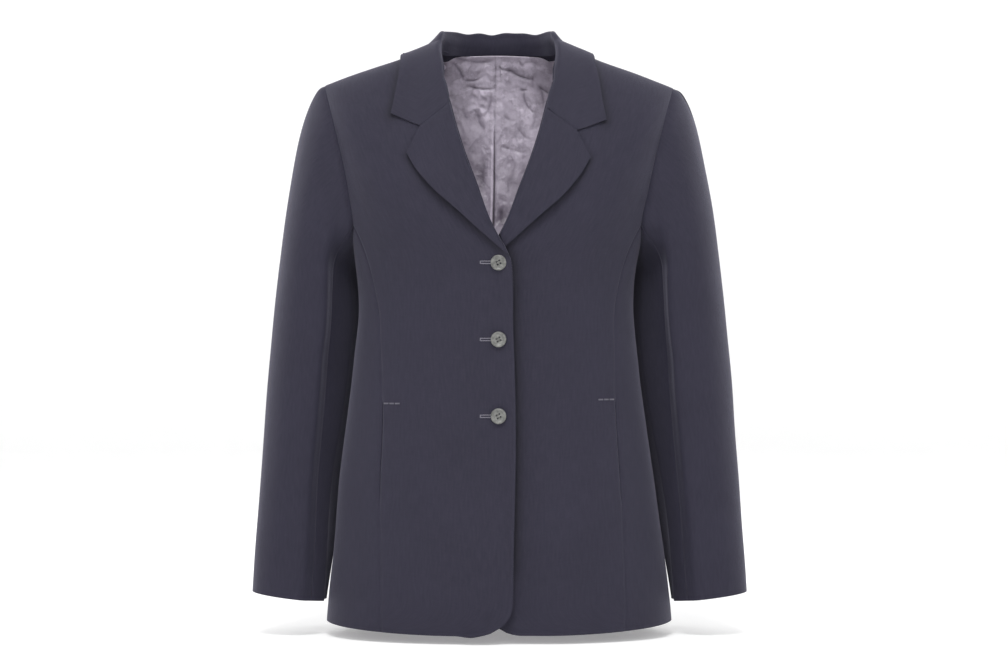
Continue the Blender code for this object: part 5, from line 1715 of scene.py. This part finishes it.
def tube(path, radius):
    """Points of one round thread along a path: rings across it, smaller at both ends."""
    turn = np.linspace(0, 2 * np.pi, THREAD_SIDES, endpoint=False)
    way = unit(np.gradient(path, axis=0))
    across = unit(np.cross(way, THREAD_ASIDE))
    rise = np.cross(way, across)
    size = radius * np.sqrt(np.clip(1 - np.linspace(-1, 1, len(path)) ** 8, THREAD_END, 1))
    ring = across[:, None] * np.cos(turn)[None, :, None] + rise[:, None] * np.sin(turn)[None, :, None]
    return path[:, None] + ring * size[:, None, None]


def tubes(name, paths, radius, skin, slot):
    """One mesh of round threads, each carried along a path of points in mm and closed at its ends."""
    vertices, faces, start = [], [], 0
    for path in paths:
        points = tube(np.asarray(path, float), radius)
        index = start + np.arange(points.shape[0] * THREAD_SIDES).reshape(-1, THREAD_SIDES)
        after = np.roll(index, -1, 1)
        faces += np.stack([index[:-1], after[:-1], after[1:], index[1:]], -1).reshape(-1, 4).tolist()
        faces += [index[0][::-1].tolist(), index[-1].tolist()]
        vertices.append(points.reshape(-1, 3))
        start += index.size
    mesh = bpy.data.meshes.new(name)
    mesh.from_pydata((np.concatenate(vertices) * MM).tolist(), [], faces)
    mesh.polygons.foreach_set("use_smooth", np.ones(len(mesh.polygons), bool))
    mesh.materials.append(skin)
    mesh.update()
    return hand_over(link(name, mesh), slot)


def over_front(side, x, z, height):
    """Points this high over the cloth of a front."""
    x, z, height = np.broadcast_arrays(np.asarray(x, float), z, height)
    points = surface(x, z)
    out = normals(points, False)
    return points + out * (body_folds(points) - underlap(side, x) + height)[..., None]


def buttonhole(number, z):
    """Worked buttonhole: bars of thread over both lips of the slit, and a bar across its end."""
    t = np.linspace(0, np.pi, 7)
    low, rise = BUTTONHOLE_HEIGHT
    hump = low + rise * np.sin(t)
    draw = np.random.default_rng(BUTTONHOLE_SEED + number)
    paths = []
    for x in np.arange(BUTTONHOLE_START, BUTTONHOLE_END, BUTTONHOLE_PITCH):
        for lip in (-1, 1):
            near = BUTTONHOLE_LIPS[0] + draw.uniform(0, NEAR_UNEVEN)
            far = BUTTONHOLE_LIPS[1] + draw.uniform(-FAR_UNEVEN, FAR_UNEVEN)
            reach = near + (far - near) * (1 - np.cos(t)) / 2
            lean = x + draw.uniform(-PLACE_UNEVEN, PLACE_UNEVEN) + STITCH_LEAN * t
            paths.append(over_front(-1, lean, z + lip * reach, hump))
    for before in BUTTONHOLE_BARS:
        across = z + BUTTONHOLE_BAR_HALF * np.cos(t)
        paths.append(over_front(-1, BUTTONHOLE_START - before + 0 * t, across, hump + BUTTONHOLE_BAR_RISE))
    return tubes(f"buttonhole_{number}", paths, BUTTONHOLE_THREAD_RADIUS, HOLE_THREAD, "cloth")


def pocket_tack(side, word):
    """Short row of thick stitches from the top of the pocket towards the middle of the front."""
    z = POCKET_TOP + TACK_OVER[word]
    seam_x = float(side_seam(side, z, word))
    t = np.linspace(0, np.pi, 9)
    low, rise = TACK_HEIGHT
    paths = []
    for dash in range(TACK_COUNT):
        start = seam_x - side * (TACK_START + TACK_PITCH * dash)
        for strand in TACK_STRANDS:
            x = start - side * TACK_LENGTH * (1 - np.cos(t)) / 2
            height = z + strand - TACK_SLANT * side * t
            paths.append(over_front(side, x, height, low + rise * np.sin(t)))
    return tubes(f"pocket_tack_{word}", paths, TACK_THREAD_RADIUS, TACK_THREAD, "cloth")


def button_place(z):
    """Matrix of a button's middle on the cloth, facing out."""
    point = over_front(-1, MID, z, BUTTON_STAND + BUTTON_CLEARANCE)
    out = normals(surface(np.array(MID), np.array(z)), False)
    turn = Vector((0, 0, 1)).rotation_difference(Vector(out)).to_matrix().to_4x4()
    about = Matrix.Rotation(math.radians(BUTTON_TURN), 4, "Z")
    return Matrix.Translation(Vector(point) * MM) @ turn @ about


def button_disc(place):
    """Mesh of a button without its holes: its section swept round, then put in its place."""
    knots = np.arange(len(BUTTON_SECTION), dtype=float)
    at = np.linspace(0, knots[-1], BUTTON_ROWS)
    radius = np.maximum(smooth(at, knots, BUTTON_SECTION[:, 0]), 0)[1:-1, None]
    height = smooth(at, knots, BUTTON_SECTION[:, 1])
    turn = np.linspace(0, 2 * np.pi, BUTTON_COLUMNS, endpoint=False)
    rings = np.stack([radius * np.cos(turn), radius * np.sin(turn), height[1:-1, None] + 0 * turn], -1)
    rings = rings.reshape(-1, 3)
    vertices = np.concatenate([rings, [[0, 0, height[0]], [0, 0, height[-1]]]]) * MM
    index = np.arange(len(rings)).reshape(-1, BUTTON_COLUMNS)
    after = np.roll(index, -1, 1)
    faces = np.stack([index[:-1], after[:-1], after[1:], index[1:]], -1).reshape(-1, 4).tolist()
    faces += [[len(rings), b, a] for a, b in zip(index[0].tolist(), after[0].tolist())]
    faces += [[len(rings) + 1, a, b] for a, b in zip(index[-1].tolist(), after[-1].tolist())]
    mesh = bpy.data.meshes.new("button")
    mesh.from_pydata(vertices.tolist(), [], faces)
    mesh.transform(place)
    return mesh


def drill_at(place):
    """Round cutter through a button at this place."""
    drill = bmesh.new()
    radius = HOLE_RADIUS * MM
    bmesh.ops.create_cone(
        drill, cap_ends=True, segments=24, radius1=radius, radius2=radius, depth=HOLE_DEPTH * MM,
        matrix=place,
    )
    mesh = bpy.data.meshes.new("drill")
    drill.to_mesh(mesh)
    drill.free()
    return link("drill", mesh)


def button(number, z):
    """Turned button with four holes cut through it."""
    place = button_place(z)
    made = link(f"button_{number}_horn", button_disc(place))
    cutters = []
    for x, y in HOLE_PLACES:
        cutter = drill_at(place @ Matrix.Translation((x * MM, y * MM, HOLE_MIDDLE * MM)))
        cut = made.modifiers.new("hole", "BOOLEAN")
        cut.operation = "DIFFERENCE"
        cut.solver = "EXACT"
        cut.object = cutter
        cutters.append(cutter)
    bpy.context.view_layer.update()
    graph = bpy.context.evaluated_depsgraph_get()
    drilled = bpy.data.meshes.new_from_object(made.evaluated_get(graph))
    made.modifiers.clear()
    made.data = drilled
    for cutter in cutters:
        bpy.data.objects.remove(cutter)
    drilled.materials.clear()
    drilled.materials.append(HORN)
    drilled.polygons.foreach_set("use_smooth", np.ones(len(drilled.polygons), bool))
    split = made.modifiers.new("edges", "EDGE_SPLIT")
    split.split_angle = math.radians(HORN_SPLIT)
    return hand_over(made, "horn", f"button_{number}")


def button_thread(number, z):
    """Thread shank under a button, and the strands from hole to hole over it.

    The top button's threads end in its holes.
    """
    paths = []
    for turn in np.linspace(0, 2 * np.pi, SHANK_THREADS, endpoint=False):
        x, y = SHANK_RADIUS * math.cos(turn), SHANK_RADIUS * math.sin(turn)
        paths.append([(x, y, h) for h in np.linspace(-BUTTON_STAND, SHANK_TOP, 5)])
    if number > 1:
        t = np.linspace(0, np.pi, 9)
        half = HOLE_PLACES[0][0]
        height = STRAND_START + STRAND_RISE * np.sin(t) ** 0.5
        for y in (-half, half):
            for strand in STRANDS:
                paths.append(np.stack([-half * np.cos(t), y + strand + 0 * t, height], -1))
    else:
        for x, y in HOLE_PLACES:
            paths.append([(x, y, h) for h in STUB_HEIGHTS])
    place = np.array(button_place(z))
    moved = [np.asarray(p, float) @ place[:3, :3].T + place[:3, 3] / MM for p in paths]
    return tubes(f"button_{number}_thread", moved, BUTTON_THREAD_RADIUS, BUTTON_THREAD, "horn")


# --- room, light and camera ----------------------------------------------------------------------

# All in metres.
FLOOR = -0.690
FLOOR_REACH = 9
FLOOR_STEPS = 121
FLAT = 4.8                # radius of its flat part
FLOOR_GLOW = 0.25         # strength of its own light
WORLD_LIGHT = 0.46
CAMERA_PLACE = (0.0041, -3.0, -0.3386)
LENS = 90.49              # mm, on a sensor 36 mm wide
SENSOR = 36
SIGHT = 30                # how far the camera sees

Lamp = namedtuple("Lamp", "name place aim size power")
LAMPS = (
    Lamp("key", (-0.15, -2.2, 2.6), (0, 0, -0.3), (1.5, 0.9), 84),
    Lamp("front", (0.0, -3.8, 0.7), (0, 0, -0.35), (2.4, 0.9), 24),
    Lamp("rim_right", (-2.0, 0.9, 0.9), (-0.2, 0, -0.2), (0.8, 1.8), 16),
    Lamp("rim_left", (2.0, 0.9, 0.9), (0.2, 0, -0.2), (0.8, 1.8), 16),
)


def room():
    """White floor that curves up all round: a height grid, flat within FLAT and a parabola beyond."""
    line = np.linspace(-FLOOR_REACH, FLOOR_REACH, FLOOR_STEPS)
    x, y = np.meshgrid(line, line)
    beyond = np.maximum(np.hypot(x, y) - FLAT, 0)
    points = np.stack([x, y, FLOOR + 0.5 * beyond**2], -1) / MM
    mesh = grid_mesh("floor", points, np.array([0.0, 0.0, 1.0]))
    white = Nodes("paper_floor", PAPER, roughness=0.9)
    white.shader.inputs["Emission Color"].default_value = (*WHITE, 1)
    white.shader.inputs["Emission Strength"].default_value = FLOOR_GLOW
    tone = white.noise(white.coordinates("Object"), 2.0, 1.0)
    white.feed(Base_Color=white.mix(tone, PAPER_DARK, PAPER_LIGHT))
    mesh.materials.append(white.material)
    link("floor", mesh)


def hang(lamp):
    """Area lamp turned to what it lights."""
    data = bpy.data.lights.new(lamp.name, "AREA")
    data.shape = "RECTANGLE"
    data.size, data.size_y = lamp.size
    data.energy = lamp.power
    made = link(lamp.name, data)
    made.location = lamp.place
    toward = Vector(lamp.aim) - Vector(lamp.place)
    made.rotation_euler = toward.to_track_quat("-Z", "Y").to_euler()


def studio():
    """Even white light from all round, the lamps, and plain colours."""
    world = bpy.data.worlds.new("studio")
    world.use_nodes = True
    background = world.node_tree.nodes["Background"]
    background.inputs["Color"].default_value = (*WHITE, 1)
    background.inputs["Strength"].default_value = WORLD_LIGHT
    bpy.context.scene.world = world
    for lamp in LAMPS:
        hang(lamp)
    bpy.context.scene.view_settings.view_transform = "Standard"


def camera():
    """Level camera in front of the jacket."""
    data = bpy.data.cameras.new("camera")
    data.lens = LENS
    data.sensor_width = SENSOR
    data.clip_end = SIGHT
    made = link("camera", data)
    made.location = CAMERA_PLACE
    made.rotation_euler = (math.pi / 2, 0, 0)
    bpy.context.scene.camera = made


# --- what each piece is cut from -----------------------------------------------------------------

# Width and length of each piece laid flat, and the area of its cut, in mm and square mm.
Cut = namedtuple("Cut", "width length area")
CUTS = {
    "front": Cut(225, 700, 114000), "side": Cut(195, 470, 85000), "back": Cut(225, 690, 117500),
    "lapel": Cut(115, 190, 8900), "top_sleeve": Cut(250, 600, 127000), "under_sleeve": Cut(130, 470, 48500),
    "lining": Cut(215, 655, 122000), "pocket": Cut(40, 140, 5000), "collar": Cut(430, 115, 41000),
    "collar_stand": Cut(330, 18, 4200),
}


def declare(name, made):
    """Look up the flat cut of a piece and work out its area in square metres."""
    cut = CUTS[name]
    area = min(cut.area, cut.width * cut.length) * MM * MM
    cut.width * MM


def main():
    for side, word in WORDS.items():
        declare("front", front(side, word))
        declare("side", side_panel(side, word))
        declare("back", back(side, word))
        declare("lapel", lapel(side, word))
        for name, made in zip(("top_sleeve", "under_sleeve"), sleeve(side, word)):
            declare(name, made)
        declare("lining", lining(side, word))
        declare("pocket", pocket(side, word))
        pocket_tack(side, word)
    declare("collar", collar())
    declare("collar_stand", collar_stand())
    for number, z in enumerate(BUTTON_Z, 1):
        buttonhole(number, z)
        button(number, z)
        button_thread(number, z)
    room()
    studio()
    camera()


main()
